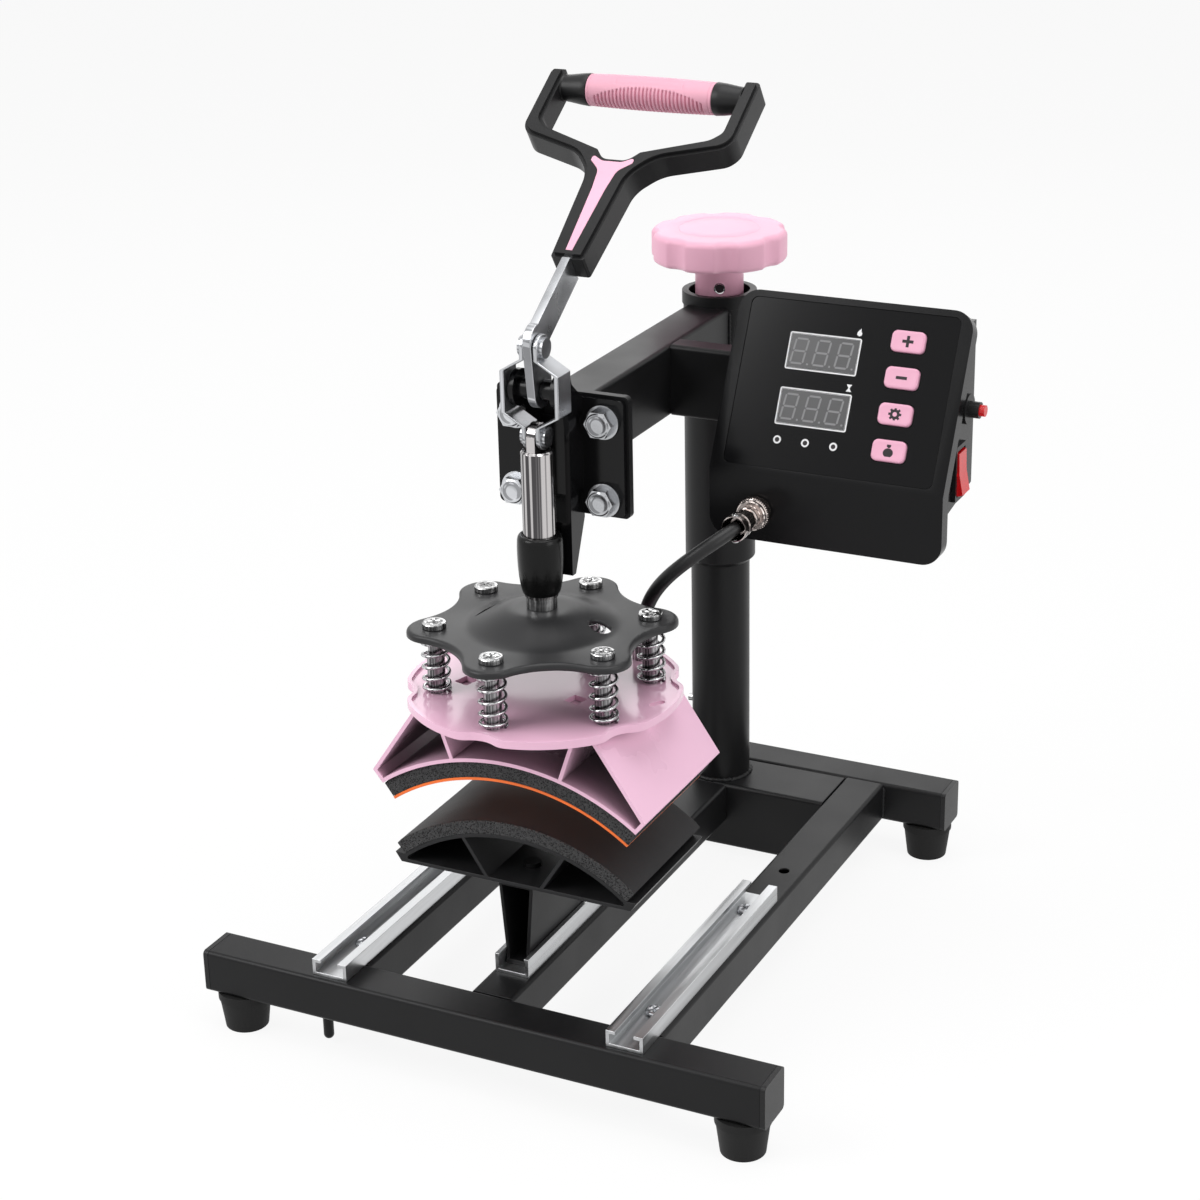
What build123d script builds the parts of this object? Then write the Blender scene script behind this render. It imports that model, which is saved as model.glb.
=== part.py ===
from build123d import *
import math
import os

# Combo heat press with a cap platen, in millimetres.
# The origin is on the bench, on the axis of the post.
# X runs to the right, Y to the back and Z up.

# Fits and gaps
slide_clearance = 0.08
pin_clearance = 0.05
seat_gap = 0.2
loose_gap = 0.4

# Base frame of square steel tube
tube_size = 26.0
tube_wall = 1.5
tube_corner = 2.5
front_tube_length = 350.0
rear_tube_length = 294.0
front_reach = 340.8
rear_reach = 46.8
side_tube_x = 92.0
beam_depth = 42.0
beam_height = 44.4
beam_wall = 2.0
cap_thickness = 3.0
cap_plug_length = 12.0

# Rubber feet and the pin under the front tube
foot_height = 23.4
foot_bottom_radius = 12.5
foot_top_radius = 15.5
foot_rim_height = 5.0
front_foot_inset = 18.0
rear_foot_inset = 16.0
pin_x = -101.0
pin_radius = 3.0
pin_length = 20.0

# Rails on the side tubes and on the centre tube
side_rail_width = 22.0
side_rail_height = 10.0
side_rail_length = 185.0
side_rail_setback = 4.0
rail_wall = 2.0
side_rail_lip = 3.5
centre_rail_lip = 0.7
rail_screw_inset_front = 38.0
rail_screw_inset_back = 22.0
spare_hole_y = -114.8
spare_hole_radius = 3.2
centre_rail_width = 21.0
centre_rail_height = 11.6
centre_rail_length = 120.0
centre_rail_setback = 49.5
screw_head_radius = 5.0
screw_head_height = 2.6

# Post
post_radius = 18.5
post_wall = 3.0
post_top = 335.0
stop_screw_z = 97.2
stop_screw_radius = 2.5
stop_screw_length = 7.5
nut_flange_height = 4.0
nut_length = 22.0

# Knob and height screw
screw_radius = 7.0
screw_bottom = 268.0
web_bottom = 346.0
web_height = 6.0
collar_height = 5.6
retainer_height = 4.0
retainer_radius = 11.0
knob_radius = 41.2
knob_top = 411.0
knob_height = 19.0
knob_flutes = 8
knob_flute_angle = -61.0
flute_radius = 13.0
flute_depth = 2.6
knob_hub_radius = 14.7
knob_set_screw_radius = 2.4
knob_set_screw_z = 377.0
knob_set_screw_angle = 24.0

# Sleeve and arm
sleeve_radius = 22.0
sleeve_bottom = 198.0
sleeve_top = 373.0
sleeve_ring_radius = 22.8
sleeve_ring_height = 8.0
sleeve_chamfer = 3.0
arm_width = 28.0
arm_height = 42.5
arm_top = 366.5
arm_wall = 2.0
weld_gap = 0.1

# Clamp bracket
plunger_reach = 241.6
bracket_front = 214.8
flange_thickness = 3.5
flange_half_width = 38.5
flange_bottom = 302.0
flange_top = 368.5
end_plate_thickness = 4.5
end_plate_overhang = 1.5
bolt_x = 26.6
bolt_low_z = 311.5
bolt_rise = 44.5
bolt_radius = 5.0
bolt_flange_radius = 9.6
bolt_flange_height = 2.0
bolt_hex_radius = 8.2
bolt_hex_height = 6.0
bolt_hole_gap = 0.3
nut_hex_radius = 9.0
nut_height = 8.0
ear_inner_x = 11.0
ear_thickness = 3.0
ear_eye_radius = 10.2
ear_clearance = 1.0
guide_radius = 12.8
guide_bottom = 262.8
guide_top = 297.0

# Toggle linkage: pivot in the bracket, link pivot on the lever, link pivot on the plunger
pivot_back = 4.8
pivot_z = 377.5
lever_crank = 25.2
link_length = 49.1
lever_thickness = 5.0
lever_eye_radius = 10.0
lever_width = 17.0
lever_bend_height = 27.5
lever_reach = 52.0
lever_tang_length = 34.0
lever_tang_width = 14.0
handle_angle = 34.3
pivot_radius = 4.0
spacer_radius = 6.0
link_thickness = 2.5
link_width = 15.6
link_gap = 0.4
link_outer_x = 15.0
link_end_radius = 7.4
link_joggle = 7.0
link_upper_straight = 5.9
link_lower_straight = 6.0
rivet_radius = 3.0
rivet_head_radius = 5.6
rivet_head_height = 2.0

# Plunger
rod_radius = 9.2
tongue_thickness = 5.0
tongue_width = 15.0
tongue_shoulder_drop = 7.9
tongue_rise = 7.4
lock_nut_radius = 8.5
lock_nut_height = 7.0

# Star plate and its springs
star_top = 245.0
star_thickness = 2.2
star_skirt = 4.0
screw_circle = 59.5
lobe_radius = 15.5
star_waist = 58.5
dome_height = 9.4
dome_base_radius = 44.0
dome_top_radius = 13.0
star_hole_x = 34.4
star_hole_y = 1.5
star_hole_radius = 6.3
star_slit_x = -34.5
star_slit_y = -1.7
star_slit_angle = 72.0
star_slit_length = 16.0
star_slit_width = 2.6
shoulder_radius = 4.0
shoulder_head_radius = 6.7
shoulder_head_height = 3.4
collar_sleeve_radius = 5.0
spring_wire = 2.0
spring_radius = 7.2
spring_turns = 6

# Scalloped disc on the heater housing
disc_top = 207.0
disc_thickness = 3.0
disc_radius = 77.5
disc_notch_reach = 72.6
disc_notch_radius = 16.0
disc_notch_blend = 12.0
disc_lip_height = 1.6
disc_lip_width = 2.4
disc_hole_size = 9.4
disc_hole_angle = -15.0
disc_slot_x = 67.4
disc_slot_y = 3.2

# Heater housing and its layers
housing_depth = 98.0
housing_half_width = 84.4
housing_corner_z = 160.8
housing_foot_half_width = 78.4
housing_top_half_width = 54.8
housing_wall = 2.2
housing_web_foot = 32.8
housing_web_top = 42.5
heat_arc_z = 46.0
housing_arc_radius = 133.0
foam_thickness = 9.6
sheet_thickness = 1.8
heat_layer_depth = 95.0
heat_layer_half_angle = 36.4

# Lower cap platen
lower_depth = 88.0
lower_half_width = 75.9
lower_lip_z = 108.6
lower_foot_half_width = 72.1
lower_bottom = 103.0
lower_wall = 2.2
lower_arc_z = 22.5
lower_foam_radius = 118.6
lower_foam_thickness = 8.0
lower_foam_half_angle = 39.1
lower_web_foot = 16.0
lower_web_top = 32.4

# Stand of the lower platen
stand_top_half_width = 10.8
stand_foot_half_width = 7.5
stand_wall = 2.2
stand_depth = 70.0
stand_foot_height = 3.0
stand_flange = 0.7

# Control box
box_centre_x = 126.0
box_width = 138.0
box_front = 143.8
box_bottom = 272.0
box_kink = 312.0
box_face_tilt = 27.0
box_face_length = 103.0
bezel_depth = 9.0
bezel_wall = 3.0
bezel_rim = 6.5
bezel_corner = 12.0
housing_back = 84.0
housing_low_front = 293.5
housing_low_back = 302.0
bezel_block = 22.0
housing_side_inset = 4.0
shell_wall = 2.5
panel_half_width = 61.5
panel_low = 4.0
panel_high = 99.0
panel_recess = 1.6
panel_thickness = 1.2
window_width = 42.4
window_height = 21.2
window_x = -14.1
window_upper = 71.0
window_lower = 39.5
window_thickness = 1.4
lamp_x = -15.1
lamp_pitch = 16.7
lamp_height = 20.2
lamp_radius = 2.4
key_width = 19.5
key_height = 12.0
key_corner = 3.0
key_x = 34.0
key_top = 82.7
key_pitch = 20.3
key_proud = 1.6
key_length = 11.4
board_gap = 2.0
board_thickness = 1.6
board_boss_x = 52.0
board_boss_inset = 10.0
board_boss_radius = 3.0
bracket_tube_depth = 16.0
bracket_tube_wall = 2.0
bracket_flange_reach = 4.0
bracket_flange_thickness = 3.0

# Fittings of the control box
socket_x = -39.5
socket_z = 290.0
socket_radius = 8.0
socket_proud = 6.0
plug_nut_radius = 9.4
plug_nut_length = 9.0
plug_barrel_radius = 6.0
plug_barrel_length = 14.0
plug_clamp_radius = 7.6
plug_clamp_length = 9.0
plug_mouth_radius = 6.9
plug_mouth_depth = 6.2
breaker_y = 104.0
breaker_z = 351.0
breaker_body_radius = 8.5
breaker_body_height = 4.5
breaker_collar_radius = 4.6
breaker_collar_height = 6.0
button_radius = 3.2
button_proud = 3.0
button_travel = 2.0
rocker_y = 108.5
rocker_z = 316.0
rocker_well_depth = 6.5
rocker_frame_depth = 17.0
rocker_frame_height = 32.0
rocker_frame_proud = 2.0
rocker_width = 12.0
rocker_length = 26.0
rocker_pin_radius = 1.2
rocker_pin_reach = 0.8
rocker_pivot_x = 192.0
mains_gland_x = 30.0
mains_gland_z = 345.0
mains_gland_radius = 8.0
mains_gland_length = 18.0

# Fork handle, in its own plane: across, and along from the lever bend
handle_depth = 18.0
grip_reach = 182.0
grip_radius = 9.6
grip_end_radius = 7.0
grip_half_length = 39.0
fork_half_width = 64.5
fork_inner_half_width = 55.5
fork_end = 189.5
handle_edge = 2.0
socket_half_width = 9.8
socket_start = 52.0
inlay_thickness = 1.0

# Heater cable
cable_radius = 4.0
gland_circle = 66.5
gland_angle = 60.0
gland_outer_radius = 6.2
gland_height = 14.0
gland_bore_gap = 0.4
gland_floor = 2.0
gland_mouth_gap = 1.4
gland_mouth_depth = 5.0
mouth_gap = 0.9

# Worked out from the sizes above
frame_front = -front_reach
frame_back = rear_reach
tube_top = foot_height + tube_size
tube_middle = foot_height + tube_size / 2
front_tube_back = frame_front + tube_size
rear_tube_front = frame_back - tube_size
beam_front = rear_tube_front - beam_depth
beam_bottom = tube_top - beam_height
post_bottom = beam_bottom + beam_wall
plunger_y = -plunger_reach
pivot_y = plunger_y + pivot_back
crank_angle = math.asin(pivot_back / lever_crank)
link_pivot_y = pivot_y - lever_crank * math.sin(crank_angle)
link_pivot_z = pivot_z + lever_crank * math.cos(crank_angle)
plunger_pivot_z = link_pivot_z - link_length
bend_y = pivot_y - 3.5
bend_z = pivot_z + lever_bend_height
sleeve_bore = post_radius + slide_clearance
star_under = star_top - star_thickness
disc_under = disc_top - disc_thickness
flange_back = -bracket_front + flange_thickness
end_plate_back = flange_back + end_plate_thickness
arm_bottom = arm_top - arm_height
sheet_arc_radius = housing_arc_radius - foam_thickness - sheet_thickness
lower_plate_radius = lower_foam_radius - lower_foam_thickness
box_left = box_centre_x - box_width / 2
box_right = box_centre_x + box_width / 2
shell_left = box_left + housing_side_inset
shell_right = box_right - housing_side_inset
screw_angles = [30 + 60 * index for index in range(6)]


def along_x(profile, left, right):
    """Extrude a profile drawn in Y and Z from left to right."""
    return extrude(Plane.YZ.offset(left) * profile, amount=right - left)


def along_y(profile, front, back):
    """Extrude a profile drawn in X and Z from the front to the back."""
    return extrude(Plane.XZ.offset(-back) * profile, amount=back - front)


def along_z(profile, low, high):
    """Extrude a profile drawn in X and Y from low to high."""
    return extrude(Plane.XY.offset(low) * profile, amount=high - low)


def disc_x(y, z, radius, left, right):
    """A round bar along X."""
    return along_x(Pos(y, z) * Circle(radius), left, right)


def disc_y(x, z, radius, front, back):
    """A round bar along Y."""
    return along_y(Pos(x, z) * Circle(radius), front, back)


def disc_z(x, y, radius, low, high):
    """A round bar along Z."""
    return along_z(Pos(x, y) * Circle(radius), low, high)


def square_tube(width, height, wall, corner):
    """Section of a rectangular tube with rounded corners."""
    outer = RectangleRounded(width, height, corner)
    inner = RectangleRounded(width - 2 * wall, height - 2 * wall, max(corner - wall, 0.4))
    return outer - inner


def polar(radius, degrees):
    """X and Y of a point on a circle."""
    turn = math.radians(degrees)
    return radius * math.cos(turn), radius * math.sin(turn)


# Base frame


def cross_tube(length, front):
    """One of the two tubes that run from left to right, without its end caps."""
    profile = square_tube(tube_size, tube_size, tube_wall, tube_corner)
    section = Pos(front + tube_size / 2, tube_middle) * profile
    half = length / 2 - cap_thickness
    return along_x(section, -half, half)


def cross_tubes():
    """The front and the rear tube of the frame."""
    front = cross_tube(front_tube_length, frame_front)
    return [front, cross_tube(rear_tube_length, rear_tube_front)]


def end_cap(length, front, side):
    """A plastic cap in one end of a cross tube."""
    middle = front + tube_size / 2
    plug_size = tube_size - 2 * tube_wall - 2 * seat_gap
    flange = along_x(
        Pos(middle, tube_middle) * RectangleRounded(tube_size, tube_size, tube_corner),
        length / 2 - cap_thickness,
        length / 2,
    )
    plug = along_x(
        Pos(middle, tube_middle) * RectangleRounded(plug_size, plug_size, tube_corner - tube_wall),
        length / 2 - cap_thickness - cap_plug_length,
        length / 2 - cap_thickness,
    )
    cap = flange + plug
    return cap if side > 0 else mirror(cap, Plane.YZ)


def end_caps():
    caps = []
    for side in (-1, 1):
        caps.append(end_cap(front_tube_length, frame_front, side))
        caps.append(end_cap(rear_tube_length, rear_tube_front, side))
    return caps


def side_tubes():
    section = square_tube(tube_size, tube_size, tube_wall, tube_corner)
    tubes = []
    for side in (-1, 1):
        tube = along_y(Pos(side * side_tube_x, tube_middle) * section, front_tube_back, rear_tube_front)
        hole = disc_z(side * side_tube_x, spare_hole_y, spare_hole_radius, tube_middle, tube_top + 1)
        tubes.append(tube - hole)
    return tubes


def centre_tube():
    section = Pos(0, tube_middle) * square_tube(tube_size, tube_size, tube_wall, tube_corner)
    return along_y(section, front_tube_back, beam_front)


def post_seat_beam():
    """Box section between the side tubes, bored on top for the post."""
    half = side_tube_x - tube_size / 2
    section = Pos((beam_front + rear_tube_front) / 2, (beam_bottom + tube_top) / 2) * square_tube(
        beam_depth, beam_height, beam_wall, tube_corner
    )
    beam = along_x(section, -half, half)
    return beam - disc_z(0, 0, post_radius + weld_gap, beam_bottom + beam_height / 2, tube_top + 1)


def rubber_foot(x, y):
    cone = Pos(x, y, foot_height / 2) * Cone(foot_bottom_radius, foot_top_radius, foot_height)
    rim = disc_z(x, y, foot_top_radius, foot_height - foot_rim_height, foot_height)
    return cone + rim


def rubber_feet():
    front_x = front_tube_length / 2 - front_foot_inset
    rear_x = rear_tube_length / 2 - rear_foot_inset
    feet = []
    for side in (-1, 1):
        feet.append(rubber_foot(side * front_x, frame_front + tube_size / 2))
        feet.append(rubber_foot(side * rear_x, frame_back - tube_size / 2))
    return feet


def locating_pin():
    """Round-ended pin that hangs from the front tube."""
    y = frame_front + tube_size / 2
    bottom = foot_height - pin_length
    shank = disc_z(pin_x, y, pin_radius, bottom + pin_radius, foot_height)
    return shank + Pos(pin_x, y, bottom + pin_radius) * Sphere(pin_radius)


def channel(x, width, height, lip, front, length):
    """Open-topped aluminium channel with lips turned inward."""
    outer = Pos(x, tube_top + height / 2) * Rectangle(width, height)
    hollow = Pos(x, tube_top + height / 2) * Rectangle(width - 2 * rail_wall, height - 2 * rail_wall)
    mouth = Pos(x, tube_top + height) * Rectangle(width - 2 * rail_wall - 2 * lip, 2 * rail_wall)
    return along_y(outer - hollow - mouth, front, front + length)


def side_rails():
    front = frame_front + side_rail_setback
    rails = []
    for side in (-1, 1):
        x = side * side_tube_x
        rail = channel(x, side_rail_width, side_rail_height, side_rail_lip, front, side_rail_length)
        for y in side_screw_places():
            rail -= disc_z(x, y, pin_radius + seat_gap, tube_top - 1, tube_top + rail_wall + 1)
        rails.append(rail)
    return rails


def side_screw_places():
    front = frame_front + side_rail_setback
    return (front + rail_screw_inset_front, front + side_rail_length - rail_screw_inset_back)


def centre_rail():
    front = frame_front + centre_rail_setback
    return channel(0, centre_rail_width, centre_rail_height, centre_rail_lip, front, centre_rail_length)


def rail_screw(x, y):
    """Pan-head screw through the floor of a rail."""
    seat = tube_top + rail_wall
    head = disc_z(x, y, screw_head_radius, seat, seat + screw_head_height)
    return head + disc_z(x, y, pin_radius, tube_top + 0.02, seat)


def rail_screws():
    return [rail_screw(side * side_tube_x, y) for side in (-1, 1) for y in side_screw_places()]


# Post and height adjustment


def post():
    tube = disc_z(0, 0, post_radius, post_bottom, post_top)
    tube -= disc_z(0, 0, post_radius - post_wall, post_bottom - 1, post_top + 1)
    hole = disc_x(0, stop_screw_z, stop_screw_radius + weld_gap, -post_radius - 1, 0)
    return tube - hole


def post_nut():
    """Flanged nut in the top of the post."""
    flange = disc_z(0, 0, post_radius - seat_gap, post_top, post_top + nut_flange_height)
    nut_top = post_top + nut_flange_height
    plug = disc_z(0, 0, post_radius - post_wall - weld_gap, nut_top - nut_length, post_top)
    bore = disc_z(0, 0, screw_radius + pin_clearance, post_top - nut_length, nut_top + 1)
    return flange + plug - bore


def post_stop_screw():
    outer = -post_radius - stop_screw_length / 2
    return disc_x(0, stop_screw_z, stop_screw_radius, outer, outer + stop_screw_length)


def thrust_collar():
    """Bearing ring on the web of the sleeve."""
    low = web_bottom + web_height
    ring = disc_z(0, 0, sleeve_bore - slide_clearance, low, low + collar_height)
    return ring - disc_z(0, 0, screw_radius + slide_clearance, low - 1, low + collar_height + 1)


def knob_low():
    return web_bottom + web_height + collar_height


def height_knob():
    """Fluted knob with its hub."""
    under = knob_top - knob_height
    body = disc_z(0, 0, knob_radius, under, knob_top)
    for index in range(knob_flutes):
        x, y = polar(knob_radius + flute_radius - flute_depth, index * 360 / knob_flutes + knob_flute_angle)
        body -= disc_z(x, y, flute_radius, under - 1, knob_top + 1)
    body = chamfer(body.edges().group_by(Axis.Z)[-1], 2.0)
    body = chamfer(body.edges().group_by(Axis.Z)[0], 2.0)
    hub = disc_z(0, 0, knob_hub_radius, knob_low(), under)
    bore = disc_z(0, 0, screw_radius + pin_clearance, knob_low() - 1, knob_top - 4)
    tapped = disc_y(0, knob_set_screw_z, knob_set_screw_radius + pin_clearance, -knob_hub_radius - 1, 0)
    return body + hub - bore - Rot(0, 0, knob_set_screw_angle) * tapped


def height_screw():
    """Threaded rod with its retaining shoulder, and the set screw of the knob."""
    low = web_bottom - retainer_height - seat_gap
    rod = disc_z(0, 0, screw_radius, screw_bottom, knob_top - 4 - seat_gap)
    shoulder = disc_z(0, 0, retainer_radius, low, low + retainer_height)
    outer_end = -knob_hub_radius + 2.5
    set_screw = disc_y(0, knob_set_screw_z, knob_set_screw_radius, outer_end, -screw_radius - seat_gap)
    return [rod + shoulder, Rot(0, 0, knob_set_screw_angle) * set_screw]


# Sleeve and arm


def swing_sleeve():
    """Sleeve that turns and slides on the post, with the web that the screw lifts."""
    sleeve = disc_z(0, 0, sleeve_radius, sleeve_bottom, sleeve_top)
    sleeve = chamfer(sleeve.edges().group_by(Axis.Z)[0], sleeve_chamfer)
    sleeve += disc_z(0, 0, sleeve_ring_radius, sleeve_top - sleeve_ring_height, sleeve_top)
    web = disc_z(0, 0, sleeve_bore, web_bottom, web_bottom + web_height)
    web -= disc_z(0, 0, screw_radius + loose_gap, web_bottom - 1, web_bottom + web_height + 1)
    sleeve -= disc_z(0, 0, sleeve_bore, sleeve_bottom - 1, web_bottom)
    sleeve -= disc_z(0, 0, sleeve_bore, web_bottom + web_height, sleeve_top + 1)
    return sleeve - disc_z(0, 0, screw_radius + loose_gap, web_bottom - 1, sleeve_top)


def arm_tube():
    """Arm with its welded end plate, coped round the sleeve."""
    section = Pos(0, arm_top - arm_height / 2) * square_tube(arm_width, arm_height, arm_wall, tube_corner)
    arm = along_y(section, end_plate_back, 0)
    arm -= disc_z(0, 0, sleeve_ring_radius + weld_gap, arm_bottom - 1, arm_top + 1)
    plate = along_y(flange_outline(end_plate_overhang), flange_back, end_plate_back)
    plate -= bolt_holes(flange_back - 1, end_plate_back + 1)
    return arm + plate


def flange_outline(grow):
    middle = (flange_bottom + flange_top) / 2
    height = flange_top - flange_bottom + 2 * grow
    return Pos(0, middle) * RectangleRounded(2 * (flange_half_width + grow), height, 3.0)


def bolt_places():
    return [(side * bolt_x, bolt_low_z + level * bolt_rise) for side in (-1, 1) for level in (0, 1)]


def bolt_holes(front, back):
    holes = [disc_y(x, z, bolt_radius + bolt_hole_gap, front, back) for x, z in bolt_places()]
    return holes[0] + holes[1] + holes[2] + holes[3]


def ear_profile():
    """Side view of one ear: an eye round the pivot, and a column down to the guide sleeve."""
    column_front = plunger_y + rod_radius + 1.4
    back = flange_back - flange_thickness + 0.01
    outline = Polyline(
        (back, flange_top),
        (pivot_y, pivot_z + ear_eye_radius),
        (pivot_y - 2, pivot_z - ear_eye_radius + 2),
        (link_pivot_y + link_end_radius + ear_clearance, pivot_z - ear_eye_radius - 1),
        (column_front, pivot_z - 22),
        (column_front, guide_bottom + 8),
        (column_front + 4, guide_bottom + 8),
        (back, flange_bottom - 2),
        close=True,
    )
    return make_face(outline) + Pos(pivot_y, pivot_z) * Circle(ear_eye_radius)


def clamp_bracket():
    """Folded bracket: two bolted flanges, two ears for the pivot, and the column of the guide."""
    front = -bracket_front
    flange = along_y(flange_outline(0), front, flange_back) - bolt_holes(front - 1, flange_back + 1)
    slot_outline = Pos(0, flange_top) * Rectangle(2 * ear_inner_x, 2 * (flange_top - pivot_z + 22))
    slot = along_y(slot_outline, front - 1, flange_back + 1)
    bracket = flange - slot
    bore = disc_x(pivot_y, pivot_z, pivot_radius + pin_clearance, -20, 20)
    for side in (-1, 1):
        inner = side * ear_inner_x
        outer = side * (ear_inner_x + ear_thickness)
        ear = along_x(ear_profile(), min(inner, outer), max(inner, outer))
        bracket += ear
    column_front = plunger_y + rod_radius + 1.4
    back_plate = Polyline(
        (column_front, guide_top + 4),
        (column_front, guide_bottom + 8),
        (column_front + 4, guide_bottom + 8),
        (front, flange_bottom - 2),
        (front, guide_top + 14),
        close=True,
    )
    bracket += along_x(make_face(back_plate), -ear_inner_x, ear_inner_x)
    guide_room = disc_z(0, plunger_y, guide_radius + weld_gap, guide_bottom - 1, guide_top + 1)
    rod_room = disc_z(0, plunger_y, rod_radius + 1.2, guide_top, pivot_z)
    return bracket - bore - guide_room - rod_room


def guide_sleeve():
    """Rounded bush that guides the plunger."""
    bush = disc_z(0, plunger_y, guide_radius, guide_bottom, guide_top)
    bush = fillet(bush.edges().group_by(Axis.Z)[0], 4.0)
    bush = chamfer(bush.edges().group_by(Axis.Z)[-1], 1.5)
    return bush - disc_z(0, plunger_y, rod_radius + slide_clearance, guide_bottom - 1, guide_top + 1)


def flange_bolt(x, z):
    """Hexagon bolt with a round flange, and the nut behind the end plate."""
    front = -bracket_front
    flange = disc_y(x, z, bolt_flange_radius, front - bolt_flange_height, front)
    hex_back = front - bolt_flange_height
    head = along_y(Pos(x, z) * RegularPolygon(bolt_hex_radius, 6), hex_back - bolt_hex_height, hex_back)
    shank = disc_y(x, z, bolt_radius, front, end_plate_back + nut_height + 2)
    nut = along_y(Pos(x, z) * RegularPolygon(nut_hex_radius, 6), end_plate_back, end_plate_back + nut_height)
    nut -= disc_y(x, z, bolt_radius + pin_clearance, end_plate_back - 1, end_plate_back + nut_height + 1)
    return [flange + head + shank, nut]


def bracket_bolts():
    pieces = []
    for x, z in bolt_places():
        pieces += flange_bolt(x, z)
    return pieces


def pivot_pin():
    """Pin of the lever, with its two spacers."""
    half = ear_inner_x + ear_thickness
    pin = disc_x(pivot_y, pivot_z, pivot_radius, -half, half)
    inside = lever_thickness / 2 + link_gap
    for side in (-1, 1):
        near, far = side * inside, side * (ear_inner_x - seat_gap)
        pin += disc_x(pivot_y, pivot_z, spacer_radius, min(near, far), max(near, far))
    return pin


# Toggle linkage


def lever_bar():
    """Flat bar from the pivot past the link pivot, bent back into the handle."""
    rise = math.hypot(bend_y - pivot_y, bend_z - pivot_z)
    lean = math.degrees(math.atan2(bend_z - pivot_z, bend_y - pivot_y))
    foot = Rot(0, 0, lean) * SlotCenterToCenter(rise, 2 * lever_eye_radius)
    foot = Pos((pivot_y + bend_y) / 2, (pivot_z + bend_z) / 2) * foot
    tang_end = lever_reach + lever_tang_length
    blade = Pos(lever_reach / 2, 0) * Rectangle(lever_reach, lever_width) + Circle(lever_width / 2)
    tang = Pos(tang_end / 2, 0) * Rectangle(tang_end, lever_tang_width)
    upper = Pos(bend_y, bend_z) * Rot(0, 0, handle_angle) * (blade + tang)
    bar = along_x(foot + upper, -lever_thickness / 2, lever_thickness / 2)
    bar -= disc_x(pivot_y, pivot_z, pivot_radius + pin_clearance, -10, 10)
    return bar - disc_x(link_pivot_y, link_pivot_z, rivet_radius + pin_clearance, -10, 10)


def toggle_link(side):
    """Joggled strap from the lever to the plunger tongue, bowed out round the ears."""
    near = lever_thickness / 2 + link_gap
    step = link_outer_x - near
    top = link_pivot_z + link_end_radius
    low = plunger_pivot_z - link_end_radius
    upper = link_pivot_z - link_upper_straight
    lower = plunger_pivot_z + link_lower_straight
    inner = [
        (near, top),
        (near, upper),
        (near + step, upper - link_joggle),
        (near + step, lower + link_joggle),
        (near, lower),
        (near, low),
    ]
    outer = [(x + link_thickness, z) for x, z in reversed(inner)]
    profile = make_face(Polyline(*inner, *outer, close=True))
    strap = along_y(profile, link_pivot_y - link_width, link_pivot_y + link_width)
    span = top - low - 2 * link_end_radius
    window = Rot(0, 0, 90) * SlotCenterToCenter(span, 2 * link_end_radius)
    window = Pos(link_pivot_y, (top + low) / 2) * window
    strap &= along_x(window, 0, link_outer_x + 2 * link_thickness)
    for z in (link_pivot_z, plunger_pivot_z):
        strap -= disc_x(link_pivot_y, z, rivet_radius + pin_clearance, 0, link_outer_x)
    return strap if side > 0 else mirror(strap, Plane.YZ)


def link_rivets():
    """One rivet through both links and the lever, and a short one in each link at the plunger."""
    face = lever_thickness / 2 + link_gap + link_thickness
    upper = disc_x(link_pivot_y, link_pivot_z, rivet_radius, -face, face)
    pieces = []
    lower = []
    for side in (-1, 1):
        start, end = side * face, side * (face + rivet_head_height)
        low, high = min(start, end), max(start, end)
        upper += disc_x(link_pivot_y, link_pivot_z, rivet_head_radius, low, high)
        shank_inner = side * (face - link_thickness)
        left, right = min(start, shank_inner), max(start, shank_inner)
        shank = disc_x(link_pivot_y, plunger_pivot_z, rivet_radius, left, right)
        lower.append(shank + disc_x(link_pivot_y, plunger_pivot_z, rivet_head_radius, low, high))
    pieces.append(upper)
    return pieces + lower


def plunger_rod():
    """Round rod with a flat tongue on top."""
    shoulder = plunger_pivot_z - tongue_shoulder_drop
    bottom = star_top + dome_height
    rod = disc_z(0, plunger_y, rod_radius, bottom + lock_nut_height, shoulder)
    rod = chamfer(rod.edges().group_by(Axis.Z)[-1], 1.0)
    stud = disc_z(0, plunger_y, screw_radius, star_under + dome_height - 4, bottom + lock_nut_height)
    width = tongue_width
    tongue = along_x(
        Pos(plunger_y, (shoulder + plunger_pivot_z) / 2) * Rectangle(width, plunger_pivot_z - shoulder + 2)
        + Pos(plunger_y, plunger_pivot_z) * Circle(tongue_rise),
        -tongue_thickness / 2,
        tongue_thickness / 2,
    )
    tongue &= disc_z(0, plunger_y, rod_radius, shoulder - 1, plunger_pivot_z + tongue_rise + 1)
    eye = disc_x(plunger_y, plunger_pivot_z, rivet_radius + pin_clearance, -10, 10)
    return rod + stud + tongue - eye


def plunger_nut():
    """Round lock nut between the plunger and the star plate."""
    low = star_top + dome_height
    nut = disc_z(0, plunger_y, lock_nut_radius, low, low + lock_nut_height)
    return nut - disc_z(0, plunger_y, screw_radius + pin_clearance, low - 1, low + lock_nut_height + 1)


# Star plate, springs and disc


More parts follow.
